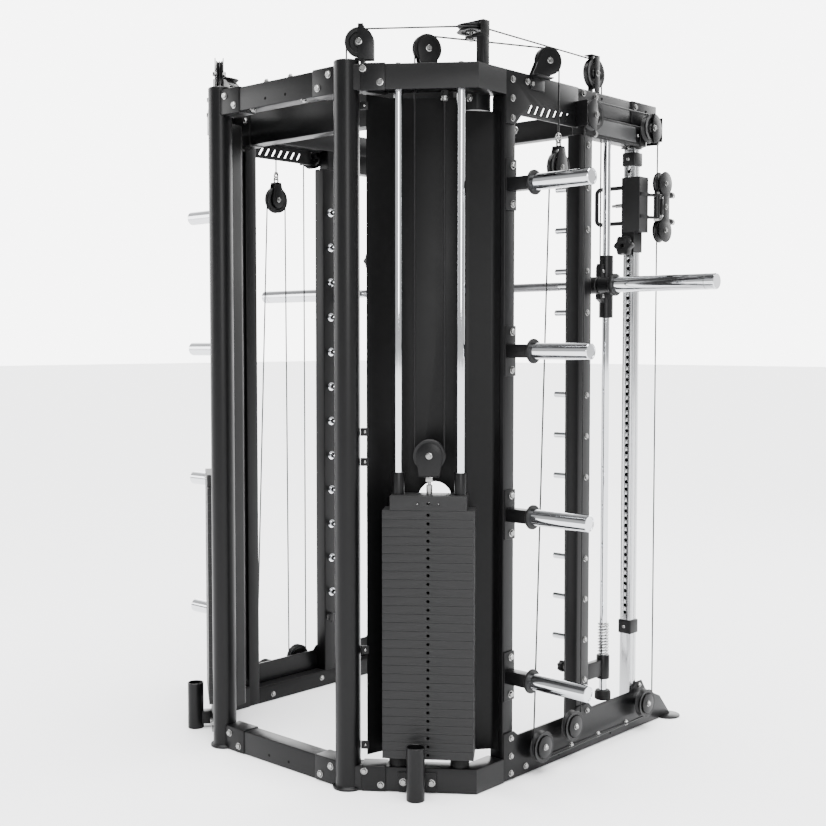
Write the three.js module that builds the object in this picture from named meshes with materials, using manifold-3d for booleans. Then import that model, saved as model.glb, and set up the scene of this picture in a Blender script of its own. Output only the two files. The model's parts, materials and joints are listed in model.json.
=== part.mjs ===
// A functional trainer: two weight stacks, two cable columns and a guided barbell in one steel frame.
// Millimetres, +Z up, the user stands at -Y. The left half (X < 0) is built, and mirrored for the right.
// Y is 0 on the line of the two round rear posts; the whole machine is then centred front to back.

import * as THREE from "three";
import { mergeVertices } from "three/addons/utils/BufferGeometryUtils.js";
import Module from "manifold-3d";

const wasm = await Module();
wasm.setup();

// ---------------------------------------------------------------- driving dimensions

const GAP = 0.3; // air left between two pieces that touch
const LAP = 1; // how far one piece of a welded part runs into the next
const ROUND = 12; // flats round a pulley, rod or bore
const SMALL_ROUND = 8; // flats round a peg, axle or washer
const POST_ROUND = 16;
const REAR_LINE_Y = 636.5; // the rear posts' distance behind the middle of the footprint

const POST = { x: -290, radius: 38, wall: 3, height: 2150, foot: 47, footHeight: 8, capHole: 9 };
const BEAM = { height: 75, depth: 60, topFrom: 2060 };
BEAM.top = BEAM.topFrom + BEAM.height;

// The frame of one side: every upright and rail shares these two faces.
const SIDE = { outer: -613, inner: -563, plate: 5 };
SIDE.middle = (SIDE.outer + SIDE.inner) / 2;
SIDE.skin = SIDE.outer - SIDE.plate;
const REAR_UPRIGHT = { front: -386, rear: -336 };
const MID_UPRIGHT = { front: -790, rear: -720 };
const SIDE_FRONT = -1166;
const RAIL = { front: -1300, height: 60 };
const CHANNEL = { from: 1990, front: -1100, rear: -745 };
const HORN = { heights: [324, 816, 1307, 1799], y: -361, neckEnd: -700, neckHalf: 20, tip: -905 };
HORN.flange = 36.5;
HORN.radius = 24.5;
HORN.plate = { halfWidth: 25, halfHeight: 75 };

const PEG = { top: 1827, pitch: 133, count: 12, radius: 10, tip: -497, y: -755 };
const SLOTS = { count: 7, first: -450, pitch: 31, width: 10, lean: 16, from: 2019, to: 2045 };
const FOOT = { x: -620, y: -1275, radius: 45, height: 6 };

// The stack bay runs from the rear post to the side frame at this angle.
const BAY_ANGLE = THREE.MathUtils.degToRad(36.7);
const STACK = { along: 243.5, rodPitch: 183, rodRadius: 12.5, boreRadius: 13.6, width: 270, depth: 96 };
const PLATES = { count: 29, pitch: 25.4, from: 106.3 };
const HEAD = { width: 225, height: 42, bushing: 18, bushingTop: 950, forkFrom: 938 };
const SHROUD = { thickness: 2, from: 98, to: 2054, brackets: [128, 416, 979, 1068, 2022] };
SHROUD.across = STACK.depth / 2 + 27;
SHROUD.slot = { along: 254, radius: 50, from: 170, to: 866 };

const HOLDER = { along: 211.5, across: -91, radius: 27, height: 158, floor: 6 };

const COLUMN = { size: 40, y: -1057, holeRadius: 6.5, holePitch: 25, lowestHole: 407, holes: 61 };
const GUIDE = { x: SIDE.middle - 4, y: -905, radius: 12.5, from: 134.5 };
GUIDE.foot = { to: 166, radius: 27 };
GUIDE.stopper = { from: 205, to: 285, radius: 22 };
GUIDE.buffer = { to: 393, radius: 18 };
GUIDE.bracket = { from: 215, to: 275, half: 10 };
const CARRIAGE = { from: 1413, height: 205, bore: 13.6, radius: 23, housing: 28, barBore: 16.5, top: 72 };
const BAR = { y: -838, z: 1518, radius: 14, flange: 36, sleeve: 25, half: 1035 };

// Pulleys are named by the radius at which the cable's middle runs on them.
const LARGE = 44;
const SMALL = 38.5;
const TROLLEY_WHEEL = 34;
const STACK_WHEEL = 43.5;
const WHEEL = { width: 20, rim: 4.2, groove: 6.5, bore: 6.5, axle: 5.7 };
const CHEEK = { thickness: 3, clearance: 1.5, width: 26 };
const CABLE_RADIUS = 2.5;
const ARC_STEP = 22.5; // degrees of a cable's bend between two of its points
const CABLE_PLANE_X = -648; // the trolley's cable and its pulleys, outboard of the side frame
const TROLLEY = { bore: 42.4, depth: 54, outboard: 46, inboard: 24, from: 1635, waist: 1702, to: 1887 };
const HANDLE = { low: 1737, high: 1857, reach: 119, radius: 7 };
const POP_PIN = { height: 1657, tip: 4, bore: 5.2, collar: 12, collarLength: 5, knob: 35, knobDepth: 28 };
const SWIVEL_Y = -1125;
const LUG = { heights: [1751, 1826], thickness: 8, half: 12, pin: 5.5 };
const CABLE_END_Y = -1222;

// ---------------------------------------------------------------- solids

const point = (x, y, z) => new THREE.Vector3(x, y, z);
const X = point(1, 0, 0);
const Y = point(0, 1, 0);
const Z = point(0, 0, 1);

// A closed three.js geometry as a solid with its faces outwards.
function solid(geometry, matrix = new THREE.Matrix4()) {
  const source = geometry.index ? geometry.toNonIndexed() : geometry;
  const bare = new THREE.BufferGeometry();
  bare.setAttribute("position", source.getAttribute("position").clone());
  bare.applyMatrix4(matrix);
  const merged = mergeVertices(bare, 1e-4);
  const triVerts = new Uint32Array(merged.index.array);
  const vertProperties = merged.getAttribute("position").array;
  const made = new wasm.Manifold(new wasm.Mesh({ numProp: 3, vertProperties, triVerts }));
  if (made.volume() > 0) return made;
  triVerts.reverse();
  return new wasm.Manifold(new wasm.Mesh({ numProp: 3, vertProperties, triVerts }));
}

function join(...pieces) {
  return pieces.flat().reduce((all, piece) => all.add(piece));
}

function cut(body, ...tools) {
  return tools.flat().reduce((left, tool) => left.subtract(tool), body);
}

function box(x0, x1, y0, y1, z0, z1) {
  const shape = new THREE.BoxGeometry(Math.abs(x1 - x0), Math.abs(y1 - y0), Math.abs(z1 - z0));
  return solid(shape, new THREE.Matrix4().setPosition((x0 + x1) / 2, (y0 + y1) / 2, (z0 + z1) / 2));
}

// The frame that carries local Y onto the given axis.
function aimed(origin, axis) {
  const turn = new THREE.Quaternion().setFromUnitVectors(Y, axis.clone().normalize());
  return new THREE.Matrix4().compose(origin, turn, point(1, 1, 1));
}

function rod(from, to, radius, sides = ROUND) {
  const axis = to.clone().sub(from);
  const middle = from.clone().add(to).multiplyScalar(0.5);
  return solid(new THREE.CylinderGeometry(radius, radius, axis.length(), sides), aimed(middle, axis));
}

function upright(x, y, z0, z1, radius, sides = ROUND) {
  return rod(point(x, y, z0), point(x, y, z1), radius, sides);
}

// A turned piece: its profile is pairs of radius and distance along the axis.
function turned(profile, origin, axis, sides = ROUND) {
  const outline = profile.map(([radius, along]) => new THREE.Vector2(radius, along));
  return solid(new THREE.LatheGeometry(outline, sides), aimed(origin, axis));
}

function extruded(outline, thickness, matrix) {
  const shape = new THREE.Shape(outline.map(([a, b]) => new THREE.Vector2(a, b)));
  return solid(new THREE.ExtrudeGeometry(shape, { depth: thickness, bevelEnabled: false }), matrix);
}

// A plate that stands along the side of the machine, drawn as pairs of y and z.
function sidePlate(outline, x0, x1) {
  const frame = new THREE.Matrix4().makeBasis(Y, Z, X).setPosition(x0, 0, 0);
  return extruded(outline, x1 - x0, frame);
}

// A piece drawn in plan, as pairs of x and y.
function plan(outline, z0, z1) {
  return extruded(outline, z1 - z0, new THREE.Matrix4().setPosition(0, 0, z0));
}

// A bent sheet drawn in plan by one of its faces.
function sheet(line, thickness, z0, z1) {
  const face = line.map(([x, y]) => new THREE.Vector2(x, y));
  const back = face.map((corner, i) => {
    const before = corner.clone().sub(face[Math.max(i - 1, 0)]).normalize();
    const after = face[Math.min(i + 1, face.length - 1)].clone().sub(corner).normalize();
    const along = before.clone().add(after).normalize();
    const straight = after.lengthSq() ? after : before;
    const across = new THREE.Vector2(-along.y, along.x);
    return corner.clone().addScaledVector(across, thickness / along.dot(straight));
  });
  const outline = [...face, ...back.reverse()].map((corner) => [corner.x, corner.y]);
  return plan(outline, z0, z1);
}

// ---------------------------------------------------------------- the bay's own frame

// Along the bay, across it towards the middle of the machine, and up.
const ALONG = point(-Math.cos(BAY_ANGLE), -Math.sin(BAY_ANGLE), 0);
const ACROSS = Z.clone().cross(ALONG);
const BAY_FRAME = new THREE.Matrix4().makeBasis(ALONG, ACROSS, Z).setPosition(POST.x, 0, 0);
const inBay = (s, w, z) => point(s, w, z).applyMatrix4(BAY_FRAME);
const toBay = (piece) => piece.transform([...BAY_FRAME.elements]);
const ROD_PLACES = [-1, 1].map((side) => STACK.along + (side * STACK.rodPitch) / 2);

// ---------------------------------------------------------------- pulleys and cables

// Where every pulley's middle is, its axis, and the radius of its cable.
const riser = inBay(STACK.along - STACK_WHEEL, 0, 2183); // the stack cable's way up to the top
const drop = point(CABLE_PLANE_X, -555, 2183); // the stack cable's way down to the floating block
const TOP_LINE = drop.clone().sub(riser).normalize();
const TOP_AXIS = TOP_LINE.clone().cross(Z).negate();
const BALANCE_X = -595;
const BALANCE_Z = 2241.5;
const CORNER_ALONG = (POST.x + ACROSS.x * SMALL - (BALANCE_X + SMALL)) / Math.cos(BAY_ANGLE);
const CARRIAGE_CABLE_Y = -864;

const PULLEYS = {
  stack_pulley: { centre: inBay(STACK.along, 0, 1000), axis: ACROSS, reach: STACK_WHEEL },
  post_top_pulley: { centre: inBay(SMALL, 0, BALANCE_Z - SMALL), axis: ACROSS, reach: SMALL },
  stack_top_pulley: { centre: riser.clone().addScaledVector(TOP_LINE, SMALL), axis: TOP_AXIS, reach: SMALL },
  side_top_pulley: { centre: drop.clone().addScaledVector(TOP_LINE, -SMALL), axis: TOP_AXIS, reach: SMALL },
  corner_pulley: { centre: inBay(CORNER_ALONG, SMALL, BALANCE_Z), axis: Z, reach: SMALL },
  smith_top_pulley: {
    centre: point(BALANCE_X, CARRIAGE_CABLE_Y + LARGE, BALANCE_Z - LARGE),
    axis: X,
    reach: LARGE,
  },
  rail_rear_pulley: { centre: point(CABLE_PLANE_X, -739, 2049), axis: X, reach: LARGE },
  rail_front_pulley: { centre: point(CABLE_PLANE_X, SWIVEL_Y + LARGE, 2049), axis: X, reach: LARGE },
  base_rear_pulley: { centre: point(CABLE_PLANE_X, -488, 84), axis: X, reach: LARGE },
  base_mid_pulley: { centre: point(CABLE_PLANE_X, -651, 112), axis: X, reach: LARGE },
  base_front_pulley: { centre: point(CABLE_PLANE_X, SWIVEL_Y + LARGE, 93), axis: X, reach: LARGE },
};
const SIDE_PULLEYS = Object.keys(PULLEYS).filter((name) => /^(rail|base)_/.test(name));
const FLOATING = { y: -555, z: 1865, shackleTop: 1970 };
const UPPER_WHEEL = { y: SWIVEL_Y - TROLLEY_WHEEL, z: 1872 };
const LOWER_WHEEL = { y: SWIVEL_Y - TROLLEY_WHEEL, z: 1713 };
const COUNTERWEIGHT = { radius: 30, from: 450, to: 850 };

// A grooved wheel; without a bore it is one piece with its axle.
function wheel({ centre, axis, reach }, bore = WHEEL.bore) {
  const half = WHEEL.width / 2;
  const profile = [
    [bore, -half],
    [reach + WHEEL.rim, -half],
    [reach - WHEEL.groove, 0],
    [reach + WHEEL.rim, half],
    [bore, half],
  ];
  if (bore > 0) profile.push(profile[0]);
  return turned(profile, centre, axis);
}

// Two cheeks, a foot and an axle that hold a wheel, standing on a foot below it or hanging from one above.
function fork({ centre, axis }, footZ, footThickness = 4) {
  const inner = WHEEL.width / 2 + CHEEK.clearance;
  const outer = inner + CHEEK.thickness;
  const rise = footZ - centre.z;
  const footFar = rise + Math.sign(rise) * -footThickness;
  const half = CHEEK.width / 2;
  const cheek = (side) =>
    join(
      box(side * inner, side * outer, -half, half, 0, rise),
      rod(point(side * inner, 0, 0), point(side * outer, 0, 0), half),
    );
  const local = join(
    cheek(-1),
    cheek(1),
    box(-outer, outer, -half, half, rise, footFar),
    rod(point(-outer, 0, 0), point(outer, 0, 0), WHEEL.axle),
  );
  const frame = new THREE.Matrix4().makeBasis(axis, Z.clone().cross(axis), Z).setPosition(centre);
  return local.transform([...frame.elements]);
}

// A cable's path: it goes exactly through its own points, with no smoothing between them.
class CablePath extends THREE.Curve {
  constructor(points) {
    super();
    this.points = points;
  }
  getPointAt(u, target = new THREE.Vector3()) {
    return target.copy(this.points[Math.round(u * (this.points.length - 1))]);
  }
  getTangentAt(u, target = new THREE.Vector3()) {
    const last = this.points.length - 1;
    const i = Math.round(u * last);
    const ahead = this.points[Math.min(i + 1, last)];
    return target.copy(ahead).sub(this.points[Math.max(i - 1, 0)]).normalize();
  }
}

function cable(points) {
  const section = new THREE.Shape();
  for (let i = 0; i < 6; i += 1) {
    const angle = (i * Math.PI) / 3;
    const corner = [CABLE_RADIUS * Math.cos(angle), CABLE_RADIUS * Math.sin(angle)];
    if (i === 0) section.moveTo(...corner);
    else section.lineTo(...corner);
  }
  const options = { steps: points.length - 1, extrudePath: new CablePath(points), bevelEnabled: false };
  return solid(new THREE.ExtrudeGeometry(section, options));
}

// Points round a wheel, from one direction towards another at right angles to it.
function bend(centre, radius, from, towards, degrees) {
  const steps = Math.ceil(degrees / ARC_STEP);
  return Array.from({ length: steps + 1 }, (_, i) => {
    const angle = THREE.MathUtils.degToRad((degrees * i) / steps);
    const arm = from.clone().multiplyScalar(Math.cos(angle));
    arm.addScaledVector(towards, Math.sin(angle));
    return centre.clone().addScaledVector(arm, radius);
  });
}

// A cable in one upright plane along Y, round wheels that it turns left (1) or right (-1).
// Each stretch between two wheels is their common tangent. A stop of radius 0 is an end.
function belt(x, stops) {
  const points = [];
  const tangent = (from, to) => {
    const line = Math.atan2(to.z - from.z, to.y - from.y);
    const length = Math.hypot(to.z - from.z, to.y - from.y);
    return line - Math.asin((to.radius * to.turn - from.radius * from.turn) / length);
  };
  stops.forEach((stop, i) => {
    const incoming = i > 0 ? tangent(stops[i - 1], stop) : tangent(stop, stops[i + 1]);
    const outgoing = i < stops.length - 1 ? tangent(stop, stops[i + 1]) : incoming;
    const full = 2 * Math.PI;
    const swing = stop.turn * (((stop.turn * (outgoing - incoming)) % full) + full) % full;
    const steps = stop.radius > 0 ? Math.ceil(THREE.MathUtils.radToDeg(Math.abs(swing)) / ARC_STEP) : 0;
    for (let k = 0; k <= steps; k += 1) {
      const heading = incoming + (steps > 0 ? (swing * k) / steps : 0);
      const side = heading - (stop.turn * Math.PI) / 2;
      const y = stop.y + stop.radius * Math.cos(side);
      points.push(point(x, y, stop.z + stop.radius * Math.sin(side)));
    }
  });
  return points;
}

function stackCable() {
  const { stack_pulley, stack_top_pulley, side_top_pulley } = PULLEYS;
  const down = Z.clone().negate();
  return cable([
    inBay(STACK.along + STACK_WHEEL, 0, 2029 - GAP),
    ...bend(stack_pulley.centre, STACK_WHEEL, ALONG, down, 180),
    ...bend(stack_top_pulley.centre, SMALL, TOP_LINE.clone().negate(), Z, 90),
    ...bend(side_top_pulley.centre, SMALL, Z, TOP_LINE, 90),
    point(drop.x, drop.y, FLOATING.shackleTop + GAP),
  ]);
}

function balanceCable() {
  const { post_top_pulley, corner_pulley, smith_top_pulley } = PULLEYS;
  const outwards = ACROSS.clone().negate();
  const cornerTurn = 90 - THREE.MathUtils.radToDeg(BAY_ANGLE);
  return cable([
    inBay(0, 0, COUNTERWEIGHT.to + GAP),
    ...bend(post_top_pulley.centre, SMALL, ALONG.clone().negate(), Z, 90),
    ...bend(corner_pulley.centre, SMALL, outwards, ALONG, cornerTurn),
    ...bend(smith_top_pulley.centre, LARGE, Z, Y.clone().negate(), 90),
    point(BALANCE_X, CARRIAGE_CABLE_Y, BAR.z + CARRIAGE.top + GAP),
  ]);
}

function trolleyCable() {
  const stopAt = (name, turn) => {
    const { centre, reach } = PULLEYS[name];
    return { y: centre.y, z: centre.z, radius: reach, turn };
  };
  const upperEnd = { y: CABLE_END_Y, z: UPPER_WHEEL.z - TROLLEY_WHEEL, radius: 0, turn: 1 };
  const lowerEnd = { y: CABLE_END_Y, z: LOWER_WHEEL.z + TROLLEY_WHEEL, radius: 0, turn: 1 };
  const route = belt(CABLE_PLANE_X, [
    upperEnd,
    { ...UPPER_WHEEL, radius: TROLLEY_WHEEL, turn: 1 },
    stopAt("rail_front_pulley", -1),
    stopAt("rail_rear_pulley", -1),
    stopAt("base_mid_pulley", 1),
    { y: FLOATING.y, z: FLOATING.z, radius: LARGE, turn: -1 },
    stopAt("base_rear_pulley", -1),
    stopAt("base_front_pulley", -1),
    { ...LOWER_WHEEL, radius: TROLLEY_WHEEL, turn: 1 },
    lowerEnd,
  ]);
  const stopper = ({ z }) => {
    const profile = [
      [0, 0],
      [6, 0],
      [11, 18],
      [11, 26],
      [0, 26],
    ];
    return turned(profile, point(CABLE_PLANE_X, CABLE_END_Y + 30, z), Y.clone().negate());
  };
  return join(cable(route), stopper(upperEnd), stopper(lowerEnd));
}

// ---------------------------------------------------------------- the rear of the machine

function rearPost() {
  const inside = POST.radius - POST.wall;
  const profile = [
    [0, 0],
    [POST.foot, 0],
    [POST.foot, POST.footHeight],
    [POST.radius, POST.footHeight],
    [POST.radius, POST.height],
    [POST.capHole, POST.height],
    [POST.capHole, POST.height - 7],
    [inside, POST.height - 7],
    [inside, POST.footHeight + 4],
    [0, POST.footHeight + 4],
  ];
  return turned(profile, point(POST.x, 0, 0), Z, POST_ROUND);
}

function counterweight() {
  const { radius, from, to } = COUNTERWEIGHT;
  return upright(POST.x, 0, from, to, radius);
}

// The room that the round post and its foot disc take out of a beam.
function postRoom(z0) {
  const round = (from, to, radius) => upright(POST.x, 0, from, to, radius + 0.8, POST_ROUND);
  return join(
    round(z0 - 1, z0 + BEAM.height + 1, POST.radius),
    round(-1, POST.footHeight + GAP, POST.foot),
  );
}

// A tube between the two posts, its ends hollowed to fit round them.
function rearCrossmember(z0) {
  const beam = box(POST.x + 24, -POST.x - 24, -38, 20, z0, z0 + BEAM.height);
  const left = postRoom(z0);
  return cut(beam, left, left.mirror([1, 0, 0]));
}

// One bay beam in plan: straight out from the post, then bent forwards to the side frame.
function bayBeam(z0) {
  const half = BEAM.depth / 2;
  const stubOuter = SIDE.skin;
  const stubInner = SIDE.skin + BEAM.depth;
  const bendAt = (w, x) => inBay((POST.x + ACROSS.x * w - x) / Math.cos(BAY_ANGLE), w, 0);
  const corners = [
    inBay(20, -half, 0),
    bendAt(-half, stubOuter),
    point(stubOuter, REAR_UPRIGHT.rear + GAP, 0),
    point(stubInner, REAR_UPRIGHT.rear + GAP, 0),
    bendAt(half, stubInner),
    inBay(20, half, 0),
  ];
  const beam = plan(
    corners.map((corner) => [corner.x, corner.y]),
    z0,
    z0 + BEAM.height,
  );
  return cut(beam, postRoom(z0));
}

// The two guide rods with their bumpers, between the bay's beams, and the anchor of the stack cable.
function guideRods() {
  const rods = ROD_PLACES.map((s) =>
    join(
      upright(s, 0, BEAM.height - LAP, BEAM.topFrom + LAP, STACK.rodRadius),
      upright(s, 0, BEAM.height - LAP, PLATES.from - GAP, 20),
    ),
  );
  const anchorAt = STACK.along + STACK_WHEEL;
  const anchor = box(anchorAt - 12, anchorAt + 12, -12, 12, 2029, BEAM.topFrom + LAP);
  return toBay(join(...rods, anchor));
}

// The stand on the bent beam that carries the horizontal corner pulley.
function cornerStand() {
  const { centre } = PULLEYS.corner_pulley;
  const [back, front] = [centre.y + 15, centre.y - 15];
  const outer = SIDE.skin + 4;
  return join(
    box(outer, outer + 27, front, back, BEAM.top - LAP, 2215),
    box(outer, centre.x + 12, front, back, 2213, 2221),
    box(outer, outer + 11, front, back, 2220, 2257),
    box(outer, centre.x + 12, front, back, 2256, 2260),
    upright(centre.x, centre.y, 2220, 2257, WHEEL.axle),
  );
}

// An open steel tube behind the base beam, on a short neck: a barbell is stood in it.
function barbellHolder() {
  const { along, across, radius, height, floor } = HOLDER;
  const inside = radius - 3;
  const profile = [
    [0, 0],
    [radius, 0],
    [radius, height],
    [inside, height],
    [inside, floor],
    [0, floor],
  ];
  const plate = box(along - 57, along + 57, -37, -BEAM.depth / 2 + LAP, 8, 62);
  const neck = box(along - 20, along + 20, across, -36, 15, 58);
  const room = rod(inBay(along, across, floor), inBay(along, across, height + 1), inside, POST_ROUND);
  return cut(join(turned(profile, inBay(along, across, 0), Z, POST_ROUND), toBay(join(plate, neck))), room);
}

function stackBayFrame() {
  const { post_top_pulley, stack_top_pulley } = PULLEYS;
  const pedestal = toBay(box(42, 56, -14.5, 14.5, BEAM.top - LAP, 2156));
  const riserAt = STACK.along - STACK_WHEEL;
  const riserHole = toBay(upright(riserAt, 0, BEAM.topFrom - 10, BEAM.top + 10, 8));
  return cut(
    join(
      bayBeam(0),
      bayBeam(BEAM.topFrom),
      guideRods(),
      pedestal,
      fork(post_top_pulley, POST.height + LAP, 5),
      fork(stack_top_pulley, BEAM.top - LAP),
      cornerStand(),
      barbellHolder(),
    ),
    riserHole,
  );
}

// The bent sheet in front of the stack, cut out for the upper crossmember.
function stackShroud() {
  const flat = (v) => [v.x, v.y];
  const line = [
    flat(inBay(58, 5, 0)),
    flat(inBay(132, SHROUD.across, 0)),
    flat(inBay(350, SHROUD.across, 0)),
    [SIDE.outer + 39, REAR_UPRIGHT.rear + 3],
    [SIDE.outer + 15, REAR_UPRIGHT.rear + 3],
  ];
  const skin = sheet(line, SHROUD.thickness, SHROUD.from, SHROUD.to);
  const brackets = SHROUD.brackets.map((z) => box(POST.radius + 0.8, 62, 3.5, 7.5, z - 12, z + 12));
  return cut(join(skin, toBay(join(...brackets))), pinSlot(), box(-580, -500, -345, -272, 2016, 2070));
}

// The tall opening in the shroud's front wall, with round ends, that bares the stack's pin holes.
function pinSlot() {
  const { along, radius, from, to } = SHROUD.slot;
  const [near, far] = [SHROUD.across - 10, SHROUD.across + 10];
  const end = (z) => rod(point(along, near, z), point(along, far, z), radius, POST_ROUND);
  return toBay(join(box(along - radius, along + radius, near, far, from, to), end(from), end(to)));
}

// ---------------------------------------------------------------- the weight stack

const stackBores = (z0, z1) =>
  ROD_PLACES.map((s) => upright(s, 0, z0, z1, STACK.boreRadius));

function weightStack() {
  const top = PLATES.from + PLATES.count * PLATES.pitch - GAP;
  const half = STACK.width / 2;
  const [left, right] = [STACK.along - half, STACK.along + half];
  const block = box(left, right, -STACK.depth / 2, STACK.depth / 2, PLATES.from, top);
  const stemBore = upright(STACK.along, 0, PLATES.from - 1, top + 1, 13);
  return toBay(cut(block, ...stackBores(PLATES.from - 1, top + 1), stemBore));
}

// The head plate with its bushings, the selector stem below it and the pulley's fork above.
function headPlate() {
  const from = PLATES.from + PLATES.count * PLATES.pitch;
  const to = from + HEAD.height;
  const half = HEAD.width / 2;
  const [left, right] = [STACK.along - half, STACK.along + half];
  const block = box(left, right, -STACK.depth / 2, STACK.depth / 2, from, to);
  const bushings = ROD_PLACES.map((s) => upright(s, 0, to - LAP, HEAD.bushingTop, HEAD.bushing));
  const bored = cut(join(block, ...bushings), ...stackBores(from - 1, HEAD.bushingTop + 1));
  const stem = upright(STACK.along, 0, PLATES.from + 4, from + LAP, 9.5);
  const bolt = upright(STACK.along, 0, to - LAP, HEAD.forkFrom + LAP, 9);
  return join(toBay(join(bored, stem, bolt)), fork(PULLEYS.stack_pulley, HEAD.forkFrom));
}

// ---------------------------------------------------------------- the side frame

function storageHorn(z) {
  const { y, neckEnd, neckHalf, plate, flange, radius, tip } = HORN;
  const plateLow = z - plate.halfHeight;
  const plateHigh = z + plate.halfHeight;
  return join(
    box(SIDE.skin, SIDE.outer + LAP, y - plate.halfWidth, y + plate.halfWidth, plateLow, plateHigh),
    box(neckEnd, SIDE.outer, y - neckHalf, y + neckHalf, z - neckHalf, z + neckHalf),
    rod(point(neckEnd + LAP, y, z), point(neckEnd - 8, y, z), flange),
    rod(point(neckEnd, y, z), point(tip, y, z), radius),
  );
}

function barPeg(z) {
  return rod(point(SIDE.inner - LAP, PEG.y, z), point(PEG.tip, PEG.y, z), PEG.radius, SMALL_ROUND);
}

// The slotted plate that stiffens the corner of rear upright and top beam.
function gusset() {
  const { rear, front } = REAR_UPRIGHT;
  const low = 2007;
  const outline = [
    [rear, BEAM.top],
    [rear, 1978],
    [front + 6, 1978],
    [front - 22, low],
    [-700, low],
    [-700, BEAM.top],
  ];
  const { width, lean, from, to } = SLOTS;
  const slots = Array.from({ length: SLOTS.count }, (_, k) => {
    const y = SLOTS.first - SLOTS.pitch * k;
    const leaning = [
      [y, from],
      [y + width, from],
      [y + width - lean, to],
      [y - lean, to],
    ];
    return sidePlate(leaning, SIDE.skin - 1, SIDE.outer - 0.1);
  });
  return cut(sidePlate(outline, SIDE.skin, SIDE.outer + 0.1), slots);
}

// The plate along the base rail that carries the three base pulleys.
function baseWeb() {
  const { rear, front } = REAR_UPRIGHT;
  const edge = 134;
  const peak = 150;
  const outline = [
    [rear, 5],
    [rear, peak],
    [front, peak],
    [front - 20, edge],
    [MID_UPRIGHT.rear + 14, edge],
    [MID_UPRIGHT.rear, peak],
    [MID_UPRIGHT.front + 2, peak],
    [MID_UPRIGHT.front - 15, edge],
    [-1036, edge],
    [-1072, peak + 12],
    [-1108, peak + 12],
    [-1135, 123],
    [-1228, 82],
    [RAIL.front, 5],
  ];
  return sidePlate(outline, SIDE.skin, SIDE.outer + 0.1);
}

// A fixed axle out of the side frame, with a spacer behind the pulley and a washer in front of it.
function sideAxle({ centre }) {
  const half = WHEEL.width / 2;
  const at = (x) => point(x, centre.y, centre.z);
  const along = (from, to, radius) => rod(at(from), at(to), radius, SMALL_ROUND);
  return join(
    along(SIDE.outer + 0.1, CABLE_PLANE_X + half + 1, 12),
    along(SIDE.outer, CABLE_PLANE_X - half - 4, WHEEL.axle),
    along(CABLE_PLANE_X - half - 1, CABLE_PLANE_X - half - 4, 14),
  );
}

// The bar's guide rod hangs from the channel. A bracket holds it to the mid upright, under a buffer spring.
function guideRod() {
  const { x, y, from, radius, foot, stopper, buffer, bracket } = GUIDE;
  return join(
    upright(x, y, from, CHANNEL.from + LAP, radius),
    upright(x, y, from, foot.to, foot.radius),
    upright(x, y, stopper.from, stopper.to, stopper.radius),
    upright(x, y, stopper.to - LAP, buffer.to, buffer.radius),
    box(x - bracket.half, x + bracket.half, y, MID_UPRIGHT.front + LAP, bracket.from, bracket.to),
  );
}

// The base rail; its front end slopes down to the floor.
function baseRail() {
  const slopeFrom = RAIL.front + 57;
  const outline = [
    [REAR_UPRIGHT.front + LAP, 0],
    [REAR_UPRIGHT.front + LAP, RAIL.height],
    [slopeFrom, RAIL.height],
    [RAIL.front, 5],
    [RAIL.front, 0],
  ];
  return sidePlate(outline, SIDE.outer, SIDE.inner);
}

function sideTopBrackets() {
  const { side_top_pulley, smith_top_pulley } = PULLEYS;
  const { x, y } = side_top_pulley.centre;
  return join(
    box(SIDE.skin - 4, SIDE.outer + LAP, y - 32, y + 45, 2100, BEAM.top - 0.5),
    box(x - 14, SIDE.outer, y - 20, y + 20, 2127, BEAM.top - 1),
    fork(side_top_pulley, 2130),
    fork(smith_top_pulley, BEAM.top - LAP),
  );
}

function sideFrame() {
  const { outer, inner } = SIDE;
  const pegs = Array.from({ length: PEG.count }, (_, k) => barPeg(PEG.top - k * PEG.pitch));
  const tubes = join(
    box(outer, inner, REAR_UPRIGHT.front, REAR_UPRIGHT.rear, 0, BEAM.topFrom + LAP),
    box(outer, inner, MID_UPRIGHT.front, MID_UPRIGHT.rear, RAIL.height - LAP, BEAM.topFrom + LAP),
    box(outer, inner, SIDE_FRONT, REAR_UPRIGHT.rear, BEAM.topFrom, BEAM.top),
    box(outer, inner, CHANNEL.front, CHANNEL.rear, CHANNEL.from, BEAM.topFrom + LAP),
    baseRail(),
  );
  const foot = upright(FOOT.x, FOOT.y, 0, FOOT.height, FOOT.radius, POST_ROUND);
  const plated = join(tubes, foot, gusset(), baseWeb(), guideRod(), sideTopBrackets());
  const horns = HORN.heights.map(storageHorn);
  const axles = SIDE_PULLEYS.map((name) => sideAxle(PULLEYS[name]));
  const cableHole = upright(BALANCE_X, CARRIAGE_CABLE_Y, CHANNEL.from - 5, BEAM.top + 5, 9);
  return cut(join(plated, ...horns, ...pegs, ...axles), cableHole);
}

// ---------------------------------------------------------------- the cable column and its trolley

const COLUMN_X = SIDE.middle - 4.5;

function cableColumn() {
  const half = COLUMN.size / 2;
  const [x0, x1] = [COLUMN_X - half, COLUMN_X + half];
  const [front, rear] = [COLUMN.y - half, COLUMN.y + half];
  const collar = (z0, z1) => box(x0 - 5, x1 + 5, front - 5, rear + 5, z0, z1);
  const post = join(
    box(x0, x1, front, rear, RAIL.height + GAP, CHANNEL.from - GAP),
    box(x0, x1 + 8, front - 8, rear + 8, CHANNEL.from - 6, CHANNEL.from - GAP),
    collar(1925, 1970),
    collar(334, 381),
  );
  const holes = Array.from({ length: COLUMN.holes }, (_, k) => {
    const z = COLUMN.lowestHole + k * COLUMN.holePitch;
    return rod(point(COLUMN_X, rear - 14, z), point(COLUMN_X, rear + 1, z), COLUMN.holeRadius, 4);
  });
  return cut(post, ...holes);
}

const SWIVEL = point(CABLE_PLANE_X, SWIVEL_Y, 0);

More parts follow.
